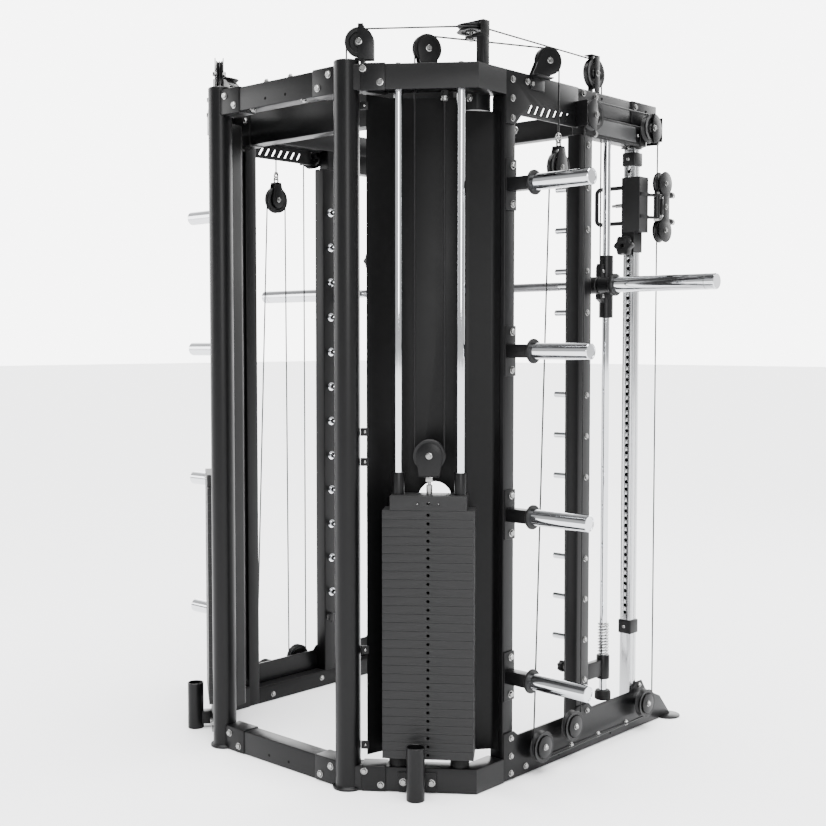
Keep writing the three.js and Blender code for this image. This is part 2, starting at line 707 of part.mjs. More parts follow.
const SLEEVE = {
  outboard: COLUMN_X - TROLLEY.outboard,
  inboard: COLUMN_X + TROLLEY.inboard,
  front: COLUMN.y - TROLLEY.depth / 2,
  rear: COLUMN.y + TROLLEY.depth / 2,
};

// One of the two lugs that reach from the sleeve's corner to the swivel pin.
function swivelLug(z0) {
  const z1 = z0 + LUG.thickness;
  const reach = point(SLEEVE.outboard + LUG.half, SLEEVE.front, 0).sub(SWIVEL);
  const direction = reach.clone().normalize();
  const side = Z.clone().cross(direction).multiplyScalar(LUG.half);
  const end = SWIVEL.clone().addScaledVector(direction, reach.length() + 6);
  const corners = [
    SWIVEL.clone().sub(side),
    end.clone().sub(side),
    end.clone().add(side),
    SWIVEL.clone().add(side),
  ];
  const strip = plan(
    corners.map((v) => [v.x, v.y]),
    z0,
    z1,
  );
  return join(strip, upright(SWIVEL.x, SWIVEL.y, z0, z1, LUG.half));
}

// The sleeve round the column, with its grab handle, its two swivel lugs and the collar of the pop-pin.
function trolley() {
  const { outboard, inboard, front, rear } = SLEEVE;
  const bore = TROLLEY.bore / 2;
  const handleX = inboard - LAP + HANDLE.reach;
  const leg = (z) => rod(point(inboard - LAP, COLUMN.y, z), point(handleX, COLUMN.y, z), HANDLE.radius);
  const [lowLug, highLug] = LUG.heights;
  const pinAt = (y) => point(COLUMN_X, y, POP_PIN.height);
  const stem = (z, reach, radius) =>
    rod(point(inboard - LAP, COLUMN.y, z), point(inboard + reach, COLUMN.y, z), radius);
  const waistOutboard = COLUMN_X - TROLLEY.inboard;
  const body = join(
    box(outboard, inboard, front, rear, TROLLEY.waist - LAP, TROLLEY.to),
    box(waistOutboard, inboard, front, rear, TROLLEY.from, TROLLEY.waist),
    swivelLug(lowLug),
    swivelLug(highLug),
    upright(SWIVEL.x, SWIVEL.y, lowLug + LAP, highLug + LAP, LUG.pin),
    leg(HANDLE.low),
    leg(HANDLE.high),
    rod(
      point(handleX, COLUMN.y, HANDLE.low - HANDLE.radius),
      point(handleX, COLUMN.y, HANDLE.high + HANDLE.radius),
      HANDLE.radius,
    ),
    stem((HANDLE.low + HANDLE.high) / 2, 56, 7),
    rod(pinAt(rear - LAP), pinAt(rear + POP_PIN.collarLength), POP_PIN.collar),
  );
  const sleeveBore = box(
    COLUMN_X - bore,
    COLUMN_X + bore,
    COLUMN.y - bore,
    COLUMN.y + bore,
    TROLLEY.from - 1,
    TROLLEY.to + 1,
  );
  return cut(body, sleeveBore, rod(pinAt(COLUMN.y), pinAt(rear + POP_PIN.collarLength + 1), POP_PIN.bore));
}

// The star-knob pin: its tip stands at the mouth of a hole of the column.
function popPin() {
  const face = COLUMN.y + COLUMN.size / 2;
  const knob = SLEEVE.rear + POP_PIN.collarLength + 1;
  const at = (y) => point(COLUMN_X, y, POP_PIN.height);
  return join(
    rod(at(face + 0.5), at(knob + LAP), POP_PIN.tip),
    rod(at(knob), at(knob + POP_PIN.knobDepth), POP_PIN.knob),
  );
}

// Two wheels between two bone-shaped cheeks, on a barrel that turns round the swivel pin.
function swivelArm() {
  const inner = WHEEL.width / 2 + CHEEK.clearance;
  const outer = inner + CHEEK.thickness;
  const { x } = SWIVEL;
  const cheekRadius = TROLLEY_WHEEL - 5;
  const [lowLug, highLug] = LUG.heights;
  const barrelFrom = lowLug + LUG.thickness + LAP;
  const barrelTo = highLug - LAP;
  const waist = { rear: SWIVEL_Y - 14, front: SWIVEL_Y - 54 };
  const wheelAt = ({ y, z }) => wheel({ centre: point(x, y, z), axis: X, reach: TROLLEY_WHEEL }, 0);
  const across = ({ y, z }, from, to, radius) => rod(point(x + from, y, z), point(x + to, y, z), radius);
  const cheek = (side) =>
    join(
      box(x + side * inner, x + side * outer, waist.front, waist.rear, LOWER_WHEEL.z, UPPER_WHEEL.z),
      across(UPPER_WHEEL, side * inner, side * outer, cheekRadius),
      across(LOWER_WHEEL, side * inner, side * outer, cheekRadius),
    );
  const arm = join(
    upright(x, SWIVEL_Y, barrelFrom, barrelTo, inner, POST_ROUND),
    box(x - outer, x + outer, waist.rear - 11, SWIVEL_Y - 5, barrelFrom + 5, barrelTo - 5),
    box(x - outer, x + outer, waist.front - 5, waist.rear - 10, barrelFrom + 12, barrelTo - 12),
    cheek(-1),
    cheek(1),
    wheelAt(UPPER_WHEEL),
    wheelAt(LOWER_WHEEL),
    across(UPPER_WHEEL, -outer, outer, 7),
    across(LOWER_WHEEL, -outer, outer, 7),
  );
  return cut(arm, upright(x, SWIVEL_Y, lowLug, highLug + LUG.thickness, 6.3));
}

// The floating pulley with its cheeks and the shackle that the stack cable pulls.
function floatingBlock() {
  const holder = { centre: point(CABLE_PLANE_X, FLOATING.y, FLOATING.z), axis: X, reach: LARGE };
  return join(
    wheel(holder, 0),
    fork(holder, 1930, 6),
    upright(CABLE_PLANE_X, FLOATING.y, 1929, FLOATING.shackleTop, 7),
  );
}

// ---------------------------------------------------------------- the guided bar

// The bush on the guide rod, with a lug that holds the housing round the bar.
function smithCarriage() {
  const { from, height, bore, radius, housing, barBore, top } = CARRIAGE;
  const sleeve = turned(
    [
      [bore, 0],
      [radius, 0],
      [radius, height],
      [bore, height],
      [bore, 0],
    ],
    point(GUIDE.x, GUIDE.y, from),
    Z,
    POST_ROUND,
  );
  const at = (x) => point(x, BAR.y, BAR.z);
  const along = (half, size) => rod(at(GUIDE.x - half), at(GUIDE.x + half), size, POST_ROUND);
  const lug = box(GUIDE.x - 10, GUIDE.x + 10, GUIDE.y + 20, BAR.y - 20, BAR.z - 58, BAR.z + top);
  return cut(join(sleeve, lug, along(19, housing)), along(30, barBore));
}

// A hook fixed to the bar: turning the bar backwards drops its mouth over a peg.
function barHook() {
  const reach = Math.hypot(PEG.y - BAR.y, 43);
  const mouth = -7;
  const outline = [
    [mouth - 18, 0],
    [mouth - 27, reach - 40],
    [mouth - 27, reach + 26],
    [mouth + 22, reach + 26],
    [mouth + 26, reach + 13],
    [mouth - 13, reach + 13],
    [mouth - 13, reach - 13],
    [mouth + 22, reach - 13],
    [mouth + 22, reach - 34],
    [18, 0],
  ];
  const placed = outline.map(([y, z]) => [BAR.y + y, BAR.z + z]);
  return join(
    sidePlate(placed, -544, -536),
    rod(point(-545, BAR.y, BAR.z), point(-535, BAR.y, BAR.z), 28, POST_ROUND),
  );
}

function smithBar() {
  const along = (from, to, radius) =>
    rod(point(from, BAR.y, BAR.z), point(to, BAR.y, BAR.z), radius, POST_ROUND);
  const end = join(
    along(-548, -573, 25),
    along(-613.5, -666, 25),
    along(-665, -677, BAR.flange),
    along(-676, -BAR.half, BAR.sleeve),
    barHook(),
  );
  return join(along(-700, 700, BAR.radius), end, end.mirror([1, 0, 0]));
}

// ---------------------------------------------------------------- crossmembers of the roof

function upperCrossmember() {
  const reach = SIDE.skin + BEAM.depth + GAP;
  return box(reach, -reach, REAR_UPRIGHT.rear, REAR_UPRIGHT.rear + 60, 2020, BEAM.top);
}

function frontCrossmember() {
  const reach = SIDE.inner + GAP;
  return box(reach, -reach, -1125, -1075, BEAM.topFrom, BEAM.top);
}

// ---------------------------------------------------------------- materials

const material = (color, roughness, metalness) =>
  new THREE.MeshStandardMaterial({ color, roughness, metalness });
const PAINT = material(0x1c1d20, 0.42, 0.2);
const CHROME = material(0xd8dadd, 0.08, 1);
const CAST = material(0x3c3c3d, 0.6, 0.3);
const NYLON = material(0x151515, 0.35, 0);
const CABLE = material(0x0d0d0e, 0.4, 0);

// ---------------------------------------------------------------- assembly

function meshOf(name, body, surface) {
  const { vertProperties, triVerts, numProp } = body.asOriginal().simplify(0.01).getMesh();
  const positions = new Float32Array((vertProperties.length / numProp) * 3);
  for (let i = 0; i * numProp < vertProperties.length; i += 1) {
    positions.set(vertProperties.subarray(i * numProp, i * numProp + 3), i * 3);
  }
  const geometry = new THREE.BufferGeometry();
  geometry.setAttribute("position", new THREE.BufferAttribute(positions, 3));
  geometry.setIndex(new THREE.BufferAttribute(triVerts, 1));
  geometry.computeVertexNormals();
  const mesh = new THREE.Mesh(geometry, surface);
  mesh.name = name;
  return mesh;
}

const SIDE_PIECES = {
  rear_post: [rearPost(), PAINT],
  stack_bay_frame: [stackBayFrame(), PAINT],
  stack_shroud: [stackShroud(), PAINT],
  side_frame: [sideFrame(), PAINT],
  cable_column: [cableColumn(), CHROME],
  weight_stack: [weightStack(), CAST],
  head_plate: [headPlate(), CAST],
  floating_block: [floatingBlock(), NYLON],
  trolley: [trolley(), PAINT],
  pop_pin: [popPin(), NYLON],
  swivel_arm: [swivelArm(), PAINT],
  counterweight: [counterweight(), CAST],
  smith_carriage: [smithCarriage(), PAINT],
  stack_cable: [stackCable(), CABLE],
  trolley_cable: [trolleyCable(), CABLE],
  balance_cable: [balanceCable(), CABLE],
};
for (const [name, place] of Object.entries(PULLEYS)) {
  SIDE_PIECES[name] = [wheel(place), NYLON];
}

const machine = new THREE.Group();
machine.name = "functional_trainer";
machine.position.y = REAR_LINE_Y;
for (const [side, mirror] of [
  ["left", 1],
  ["right", -1],
]) {
  const half = new THREE.Group();
  half.scale.x = mirror;
  for (const [name, [body, surface]] of Object.entries(SIDE_PIECES)) {
    half.add(meshOf(`${side}_${name}`, body, surface));
  }
  machine.add(half);
}
machine.add(
  meshOf("rear_top_crossmember", rearCrossmember(BEAM.topFrom), PAINT),
  meshOf("rear_base_crossmember", rearCrossmember(0), PAINT),
  meshOf("upper_crossmember", upperCrossmember(), PAINT),
  meshOf("front_crossmember", frontCrossmember(), PAINT),
  meshOf("smith_bar", smithBar(), CHROME),
);

export default machine;
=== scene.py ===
import json
import math

import bmesh
import bpy
from mathutils import Matrix, Vector


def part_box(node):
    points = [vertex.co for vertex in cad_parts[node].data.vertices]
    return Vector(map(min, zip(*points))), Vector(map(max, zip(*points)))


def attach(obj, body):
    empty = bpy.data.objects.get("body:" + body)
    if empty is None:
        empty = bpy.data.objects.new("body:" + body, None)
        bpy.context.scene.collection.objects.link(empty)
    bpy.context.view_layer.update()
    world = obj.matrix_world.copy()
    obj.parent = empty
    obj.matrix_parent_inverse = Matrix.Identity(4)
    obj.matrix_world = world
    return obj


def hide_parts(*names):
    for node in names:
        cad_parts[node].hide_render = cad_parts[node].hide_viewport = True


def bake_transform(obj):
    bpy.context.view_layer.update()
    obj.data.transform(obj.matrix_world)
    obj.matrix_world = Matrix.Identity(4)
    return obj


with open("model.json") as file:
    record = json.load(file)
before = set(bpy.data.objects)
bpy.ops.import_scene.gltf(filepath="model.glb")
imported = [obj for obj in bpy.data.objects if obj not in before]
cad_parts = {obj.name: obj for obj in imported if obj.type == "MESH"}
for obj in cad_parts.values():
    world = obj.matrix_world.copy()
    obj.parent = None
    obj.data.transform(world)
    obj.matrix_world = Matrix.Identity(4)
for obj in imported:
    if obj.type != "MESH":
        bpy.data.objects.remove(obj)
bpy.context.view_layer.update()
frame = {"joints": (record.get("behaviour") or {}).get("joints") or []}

# Everything below is drawn in millimetres for the machine's left half (X < 0), with Y = 0 on the line
# of the two rear posts, and is mirrored for the right half.
MM = 0.001
X, Y, Z = Vector((1, 0, 0)), Vector((0, 1, 0)), Vector((0, 0, 1))
SIDES = (("left", 1), ("right", -1))


def box_of(node):
    """A CAD node's lowest and highest corner in the drawing's millimetres."""
    low, high = (Vector(corner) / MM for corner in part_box(node))
    return low - REAR_LINE, high - REAR_LINE


post_low, post_high = (Vector(corner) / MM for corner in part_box("left_rear_post"))
REAR_LINE = Vector((0, (post_low.y + post_high.y) / 2, 0))
TO_METRES = Matrix.Scale(MM, 4) @ Matrix.Translation(REAR_LINE)

# ---------------------------------------------------------------- dimensions

POST_X = (post_low.x + post_high.x) / 2
POST_RADIUS = 38
POST_TOP = post_high.z
upper_low, upper_high = box_of("upper_crossmember")
front_low, front_high = box_of("front_crossmember")
BEAM_TOP = upper_high.z
BEAM_HEIGHT = 75
BEAM_LOW = BEAM_TOP - BEAM_HEIGHT
OUTER, INNER, SKIN = -613, -563, -618
MIDDLE = (OUTER + INNER) / 2
REAR_UPRIGHT = (-386, -336)
MID_UPRIGHT = (-790, -720)
SIDE_FRONT = -1166
RAIL_FRONT = -1300
RAIL_HEIGHT = 60
CHANNEL = (-1100, -745, 1990)
HORN_Y = -361
HORN_HEIGHTS = (324, 816, 1307, 1799)
HORN_NECK, HORN_TIP, HORN_RADIUS = -700, -905, 24.5
PEG_TOP, PEG_PITCH, PEG_COUNT, PEG_Y, PEG_TIP, PEG_RADIUS = 1827, 133, 12, -755, -497, 10

BAY_ANGLE = math.radians(36.7)
ALONG = Vector((-math.cos(BAY_ANGLE), -math.sin(BAY_ANGLE), 0))
ACROSS = Z.cross(ALONG)
BAY = Matrix.Translation((POST_X, 0, 0)) @ Matrix((ALONG, ACROSS, Z)).transposed().to_4x4()
STACK_ALONG = 243.5
ROD_PLACES = (STACK_ALONG - 91.5, STACK_ALONG + 91.5)
ROD_RADIUS = 12.5
PLATE_COUNT, PLATE_PITCH, PLATE_FROM = 29, 25.4, 106.3
PLATE_WIDTH, PLATE_DEPTH = 270, 96
HEAD_FROM = PLATE_FROM + PLATE_COUNT * PLATE_PITCH
HEAD_TO = HEAD_FROM + 42
HEAD_WIDTH = 225
FORK_FOOT = 938
PIN_HOLE = 4.6
# The shroud's tall opening: its place along the bay, the radius of its ends, and their heights.
SLOT = (254, 50, 170, 866)
SHROUD_BRACKETS = (128, 416, 979, 1068, 2022)
# The barbell holder: its place along and across the bay, its radius and its height.
HOLDER = (211.5, -91, 27, 158)

COLUMN_X, COLUMN_Y, COLUMN_HALF = MIDDLE - 4.5, -1057, 20
column_low, column_high = box_of("left_cable_column")
GUIDE_X, GUIDE_Y = MIDDLE - 4, -905
BAR_Y, BAR_Z, BAR_HALF = -838, 1518, 1035

# Wheels are sized by the radius at which the cable's middle runs on them.
LARGE, SMALL, STACK_WHEEL, TROLLEY_WHEEL = 44, 38.5, 43.5, 34
AXLE_RADIUS = 5.7
# Cheeks stand between these distances from the middle plane of their wheel.
CHEEK_INNER, CHEEK_OUTER = 11.5, 14.5
CHEEK_PLATE = CHEEK_OUTER - CHEEK_INNER
CABLE_RADIUS = 2.5
CABLE_X = -648
SWIVEL_Y = -1125
BALANCE_X, BALANCE_Y = -595, -864
FLOATING = Vector((CABLE_X, -555, 1865))
UPPER_WHEEL = Vector((CABLE_X, SWIVEL_Y - TROLLEY_WHEEL, 1872))
LOWER_WHEEL = Vector((CABLE_X, SWIVEL_Y - TROLLEY_WHEEL, 1713))
PIN_HEIGHT = 1657
LUG_HEIGHTS = ((1826, 1834), (1751, 1759))
LUG_HALF = 12
TROLLEY_FROM, TROLLEY_WAIST, TROLLEY_TOP = 1636, 1702, 1887
HANDLE = (1737, 1857)
SLEEVE_OUTER, SLEEVE_INNER = COLUMN_X - 46, COLUMN_X + 24
SLEEVE_FRONT, SLEEVE_REAR = COLUMN_Y - 27, COLUMN_Y + 27
CARRIAGE = (1413, 1618)
CABLE_LUG = BAR_Z + 72
WEIGHT_TOP = 850
ANCHOR_FOOT = 2029
SHEET_GAUGE = 2

EYE = Vector((-2917, 2597, 1335))
# Lamps: name, place in metres, width in metres and power in watts.
LAMPS = (
    ("key", (-3.8, 3.2, 2.3), 1.6, 110),
    ("fill", (3.8, 3.2, 2.4), 2.0, 80),
    ("front", (-1.0, -4.6, 3.6), 2.4, 120),
)

# Matrices that stand a flat drawing up: along the machine's side, and in the plane of the stack bay.
UPRIGHT = Matrix((Y, Z, X)).transposed().to_4x4()
STANDING = Matrix((X, Z, -Y)).transposed().to_4x4()


def in_bay(s, w, z):
    return BAY @ Vector((s, w, z))


def pulley_places():
    """Middle and axis of every pulley that has a joint of its own, from the joints of the frame."""
    places = {}
    for joint in frame["joints"]:
        name = joint["name"]
        if name.startswith("left_") and name.endswith("_spin"):
            middle = Vector(joint["pos_m"]) / MM - REAR_LINE
            places[name[len("left_"):-len("_spin")]] = (middle, Vector(joint["axis"]).normalized())
    return places


PULLEYS = pulley_places()
REACH = {name: LARGE for name in PULLEYS}
for small in ("post_top_pulley", "stack_top_pulley", "side_top_pulley", "corner_pulley"):
    REACH[small] = SMALL
REACH["stack_pulley"] = STACK_WHEEL

# ---------------------------------------------------------------- materials


def add_node(tree, kind, values=None, **settings):
    """A shader node with its settings and the values of its inputs."""
    made = tree.nodes.new("ShaderNode" + kind)
    for name, value in settings.items():
        setattr(made, name, value)
    for name, value in (values or {}).items():
        made.inputs[name].default_value = value
    return made


def material(name, color, roughness, metallic=0.0, grain=None, mottle=0.0, shine=0.5, wear=0.0):
    """A surface with fine grain in its bump, slow variation in colour and roughness, and rubbed edges."""
    made = bpy.data.materials.new(name)
    made.use_nodes = True
    tree = made.node_tree
    link = tree.links.new
    shader = tree.nodes["Principled BSDF"]
    shader.inputs["Metallic"].default_value = metallic
    shader.inputs["Specular IOR Level"].default_value = shine
    place = add_node(tree, "TexCoord").outputs["Object"]

    cloud = add_node(tree, "TexNoise", {"Scale": 9.0, "Detail": 5.0})
    link(place, cloud.inputs["Vector"])
    tone = add_node(tree, "ValToRGB")
    for element, scale in zip(tone.color_ramp.elements, (1 - mottle, 1 + mottle)):
        element.color = (*[min(1.0, channel * scale) for channel in color], 1)
    link(cloud.outputs["Fac"], tone.inputs["Fac"])
    final = tone.outputs["Color"]
    if wear > 0:
        edge = add_node(tree, "ValToRGB")
        edge.color_ramp.elements[0].position = 0.54
        edge.color_ramp.elements[1].position = 0.62
        link(add_node(tree, "NewGeometry").outputs["Pointiness"], edge.inputs["Fac"])
        rubbed = (*[min(1.0, channel + wear) for channel in color], 1)
        mix = add_node(tree, "Mix", data_type="RGBA")
        mix.inputs["B"].default_value = rubbed
        link(edge.outputs["Color"], mix.inputs["Factor"])
        link(final, mix.inputs["A"])
        final = mix.outputs["Result"]
    link(final, shader.inputs["Base Color"])

    limits = {"To Min": max(0.02, roughness * 0.85), "To Max": roughness * 1.15}
    sheen = add_node(tree, "MapRange", limits)
    link(cloud.outputs["Fac"], sheen.inputs["Value"])
    link(sheen.outputs["Result"], shader.inputs["Roughness"])

    if grain:
        size, strength = grain
        fine = add_node(tree, "TexNoise", {"Scale": size, "Detail": 3.0})
        link(place, fine.inputs["Vector"])
        bump = add_node(tree, "Bump", {"Strength": strength, "Distance": 0.0004})
        link(fine.outputs["Fac"], bump.inputs["Height"])
        link(bump.outputs["Normal"], shader.inputs["Normal"])
    return made


PAINT = material(
    "powder_coat", (0.0022, 0.0022, 0.0024), 0.34, grain=(1400, 0.12), mottle=0.12, shine=0.16, wear=0.004
)
SHEET = material("sheet_coat", (0.0018, 0.0018, 0.0019), 0.42, grain=(1500, 0.15), mottle=0.12, shine=0.12)
CHROME = material("chrome", (0.62, 0.63, 0.65), 0.06, metallic=1.0, grain=(300, 0.01), mottle=0.03)
SATIN = material("satin_chrome", (0.50, 0.505, 0.515), 0.2, metallic=1.0, grain=(500, 0.03), mottle=0.04)
ZINC = material("zinc", (0.24, 0.24, 0.236), 0.26, metallic=1.0, grain=(900, 0.1), mottle=0.1)
IRON = material(
    "stack_paint", (0.0085, 0.0085, 0.0087), 0.5, grain=(1100, 0.2), mottle=0.08, shine=0.2, wear=0.006
)
NYLON = material("nylon", (0.0030, 0.0030, 0.0032), 0.36, grain=(700, 0.1), mottle=0.1, shine=0.2)
RUBBER = material("rubber", (0.0030, 0.0030, 0.0030), 0.6, grain=(900, 0.3), mottle=0.15, shine=0.15)
GRIP = material("knurl", (0.26, 0.26, 0.27), 0.3, metallic=1.0, grain=(600, 0.4), mottle=0.08)
CABLE = material("cable_jacket", (0.0022, 0.0022, 0.0024), 0.34, grain=(1200, 0.1), mottle=0.1, shine=0.2)
# Near-black painted shade, put inside holes and bores to stand for the shade within them.
HOLE_SHADE = material("hole_dark", (0.001, 0.001, 0.001), 0.8, grain=(500, 0.1), shine=0.05)
PANEL = material("plain_panel", (0.03, 0.0305, 0.031), 0.4, grain=(600, 0.05), mottle=0.05)
FLOOR = material("floor", (0.86, 0.86, 0.87), 0.7, grain=(60, 0.02), mottle=0.01, shine=0.2)

# ---------------------------------------------------------------- mesh builders, in millimetres


def moved(part, matrix):
    bmesh.ops.transform(part, matrix=matrix, verts=part.verts[:])
    return part


def block(x0, x1, y0, y1, z0, z1, edge=3.0):
    """A box with rounded edges."""
    part = bmesh.new()
    size = Vector((abs(x1 - x0), abs(y1 - y0), abs(z1 - z0)))
    middle = Vector(((x0 + x1) / 2, (y0 + y1) / 2, (z0 + z1) / 2))
    bmesh.ops.create_cube(part, size=1, matrix=Matrix.Translation(middle) @ Matrix.Diagonal((*size, 1)))
    edge = min(edge, min(size) * 0.45)
    bmesh.ops.bevel(part, geom=part.edges[:], offset=edge, segments=3, profile=0.5, affect="EDGES")
    return part


def bay_block(*sizes):
    """A rounded box in the stack bay: along the bay, across it, and up."""
    return moved(block(*sizes), BAY)


def aim(origin, axis):
    return Matrix.Translation(origin) @ Z.rotation_difference(Vector(axis)).to_matrix().to_4x4()


def turn(profile, origin, axis=Z, segments=40):
    """A turned piece from pairs of radius and distance along the axis, in order round its outline."""
    part = bmesh.new()
    rings = []
    for radius, along in profile:
        if radius < 1e-6:
            rings.append([part.verts.new((0, 0, along))])
            continue
        rings.append([part.verts.new((u, v, along)) for u, v in circle(0, 0, radius, segments)])
    closed = profile[0] == profile[-1]
    if closed:
        bmesh.ops.delete(part, geom=rings[-1], context="VERTS")
        rings[-1] = rings[0]
    for low, high in zip(rings, rings[1:]):
        for k in range(segments):
            a, b = low[k % len(low)], low[(k + 1) % len(low)]
            c, d = high[(k + 1) % len(high)], high[k % len(high)]
            corners = []
            for vert in (a, b, c, d):
                if vert not in corners:
                    corners.append(vert)
            if len(corners) > 2:
                part.faces.new(corners)
    bmesh.ops.recalc_face_normals(part, faces=part.faces[:])
    return moved(part, aim(origin, axis))


def rod(start, end, radius, edge=0.8, segments=32):
    start, end = Vector(start), Vector(end)
    length = (end - start).length
    edge = min(edge, radius * 0.4, length * 0.4)
    profile = [(0, 0), (radius - edge, 0), (radius, edge)]
    profile += [(radius, length - edge), (radius - edge, length), (0, length)]
    return turn(profile, start, end - start, segments)


def post(x, y, z0, z1, radius, edge=0.8, segments=32):
    return rod((x, y, z0), (x, y, z1), radius, edge, segments)


def arc(x, y, radius, first, last, steps):
    """Points round an arc between two angles in degrees, with both its ends."""
    angles = [math.radians(first + (last - first) * k / steps) for k in range(steps + 1)]
    return [(x + radius * math.cos(a), y + radius * math.sin(a)) for a in angles]


def circle(x, y, radius, count=20):
    return arc(x, y, radius, 0, 360, count)[:-1]


def hull(points):
    """The convex outline round some points, anticlockwise."""
    ordered = sorted(set((round(u, 4), round(v, 4)) for u, v in points))

    def chain(sequence):
        made = []
        for u, v in sequence:
            while len(made) > 1:
                (a, b), (c, d) = made[-2], made[-1]
                if (c - a) * (v - b) - (d - b) * (u - a) > 1e-6:
                    break
                made.pop()
            made.append((u, v))
        return made[:-1]

    return chain(ordered) + chain(ordered[::-1])


def plate(outline, thickness, matrix, holes=(), edge=0.7):
    """A flat plate from its outline, with real holes and rounded edges, standing on the matrix's XY plane."""
    curve = bpy.data.curves.new("outline", "CURVE")
    curve.dimensions = "2D"
    curve.fill_mode = "BOTH"
    curve.extrude = thickness / 2 - edge
    curve.bevel_depth = edge
    curve.bevel_resolution = 1
    curve.offset = -edge
    for loop in (outline, *holes):
        spline = curve.splines.new("POLY")
        spline.points.add(len(loop) - 1)
        for target, (u, v) in zip(spline.points, loop):
            target.co = (u, v, 0, 1)
        spline.use_cyclic_u = True
    holder = bpy.data.objects.new("outline", curve)
    bpy.context.scene.collection.objects.link(holder)
    bpy.context.view_layer.update()
    mesh = bpy.data.meshes.new_from_object(holder.evaluated_get(bpy.context.evaluated_depsgraph_get()))
    part = bmesh.new()
    part.from_mesh(mesh)
    bpy.data.objects.remove(holder)
    bpy.data.curves.remove(curve)
    bpy.data.meshes.remove(mesh)
    bmesh.ops.remove_doubles(part, verts=part.verts[:], dist=0.01)
    return moved(part, matrix @ Matrix.Translation((0, 0, thickness / 2)))


def side_plate(outline, x0, x1, holes=(), edge=0.7):
    """A plate along the machine's side, drawn as pairs of y and z, between x0 and x1."""
    return plate(outline, abs(x1 - x0), Matrix.Translation((min(x0, x1), 0, 0)) @ UPRIGHT, holes, edge)


def plan_plate(outline, z0, z1, holes=(), edge=0.7):
    return plate(outline, z1 - z0, Matrix.Translation((0, 0, z0)), holes, edge)


def xy(points):
    return [(p.x, p.y) for p in points]


def headings(points):
    """The direction of travel at every point of a line."""
    last = len(points) - 1
    return [(points[min(i + 1, last)] - points[max(i - 1, 0)]).normalized() for i in range(last + 1)]


def tube(points, radius, segments=12):
    """A cable or bent wire through the points, with round section and flat ends."""
    points = [Vector(p) for p in points]
    part = bmesh.new()
    tangents = headings(points)
    across = tangents[0].orthogonal().normalized()
    rings = []
    for centre, tangent in zip(points, tangents):
        across = (across - tangent * across.dot(tangent)).normalized()
        other = tangent.cross(across)
        ring = []
        for u, v in circle(0, 0, radius, segments):
            ring.append(part.verts.new(centre + u * across + v * other))
        rings.append(ring)
    for low, high in zip(rings, rings[1:]):
        for k in range(segments):
            part.faces.new((low[k], low[(k + 1) % segments], high[(k + 1) % segments], high[k]))
    part.faces.new(rings[0])
    part.faces.new(rings[-1])
    bmesh.ops.recalc_face_normals(part, faces=part.faces[:])
    return part


def bend(centre, radius, start, towards, degrees):
    """Points round a wheel, from one direction towards another at right angles to it."""
    path = arc(0, 0, radius, 0, degrees, max(1, round(degrees / 6)))
    return [centre + u * start + v * towards for u, v in path]


def bolt(place, axis, size=9.0):
    """A zinc-plated hexagon head with a chamfered top, on its washer."""
    axis = Vector(axis).normalized()
    disc = [(0, -1), (size * 1.28, -1), (size * 1.28, 1.2), (size * 1.15, 1.6), (0, 1.6)]
    head = [(0, 1), (size, 1), (size, 5.6), (size * 0.86, 7), (0, 7)]
    return [(turn(disc, place, axis, 28), ZINC), (turn(head, place, axis, 6), ZINC)]


def dome(place, axis, size=8.0):
    """A round-headed bolt with a hexagon socket."""
    crown = [(0, -1), (size, -1), (size, 1.5), (size * 0.86, 3.6), (size * 0.55, 4.9)]
    socket = [(size * 0.4, 5), (size * 0.4, 2.5), (0, 2.5)]
    return [(turn(crown + socket, place, axis, 24), ZINC)]


def dimple(place, axis, radius=4.0):
    """A small drilled hole, drawn as a dished disc of painted shade that stands just proud of the face."""
    ring = [(0, 0.05), (radius * 0.9, 0.05), (radius, 0.3), (radius, -2), (0, -2)]
    return [(turn(ring, place, axis, 20), HOLE_SHADE)]


def flat(parts):
    """Nested lists of parts as one list of (bmesh, material) pairs."""
    found = []
    for item in parts:
        if isinstance(item, tuple) and len(item) == 2 and isinstance(item[0], bmesh.types.BMesh):
            found.append(item)
        else:
            found.extend(flat(item))
    return found


def mesh_of(name, parts):
    joined = bmesh.new()
    materials = []
    for part, surface in flat(parts):
        if surface not in materials:
            materials.append(surface)
        slot = materials.index(surface)
        for face in part.faces:
            face.material_index = slot
            face.smooth = True
        scratch = bpy.data.meshes.new("part")
        part.to_mesh(scratch)
        joined.from_mesh(scratch)
        bpy.data.meshes.remove(scratch)
        part.free()
    bmesh.ops.transform(joined, matrix=TO_METRES, verts=joined.verts[:])
    mesh = bpy.data.meshes.new(name)
    joined.to_mesh(mesh)
    joined.free()
    for surface in materials:
        mesh.materials.append(surface)
    mesh.set_sharp_from_angle(angle=math.radians(35))
    return mesh


def show(name, mesh, body, replaces=()):
    piece = bpy.data.objects.new(name, mesh)
    bpy.context.scene.collection.objects.link(piece)
    if isinstance(body, tuple):
        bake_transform(piece)
    else:
        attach(piece, body)
    if replaces:
        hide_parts(*replaces)
    return piece


def mirrored(mesh):
    other = mesh.copy()
    other.transform(Matrix.Diagonal((-1, 1, 1, 1)))
    other.flip_normals()
    return other


def pair(name, body, parts, replaces=None):
    """One piece on the left and its mirror image on the right. {} in body and node names is the side."""
    mesh = mesh_of(name, parts)
    for side, mirror in SIDES:
        shape = mesh if mirror > 0 else mirrored(mesh)
        nodes = [replaces.format(side)] if replaces else []
        show(f"{side}_{name}", shape, body.format(side), nodes)


def painted(name, parts, replaces=None):
    """A pair of painted pieces that belong to the frame."""
    pair(name, "frame", parts, replaces)


def laid(name, body, points, replaces=None):
    """A pair of cable pieces that lie round their wheels."""
    pair(name, body, [(tube(points, CABLE_RADIUS), CABLE)], replaces)


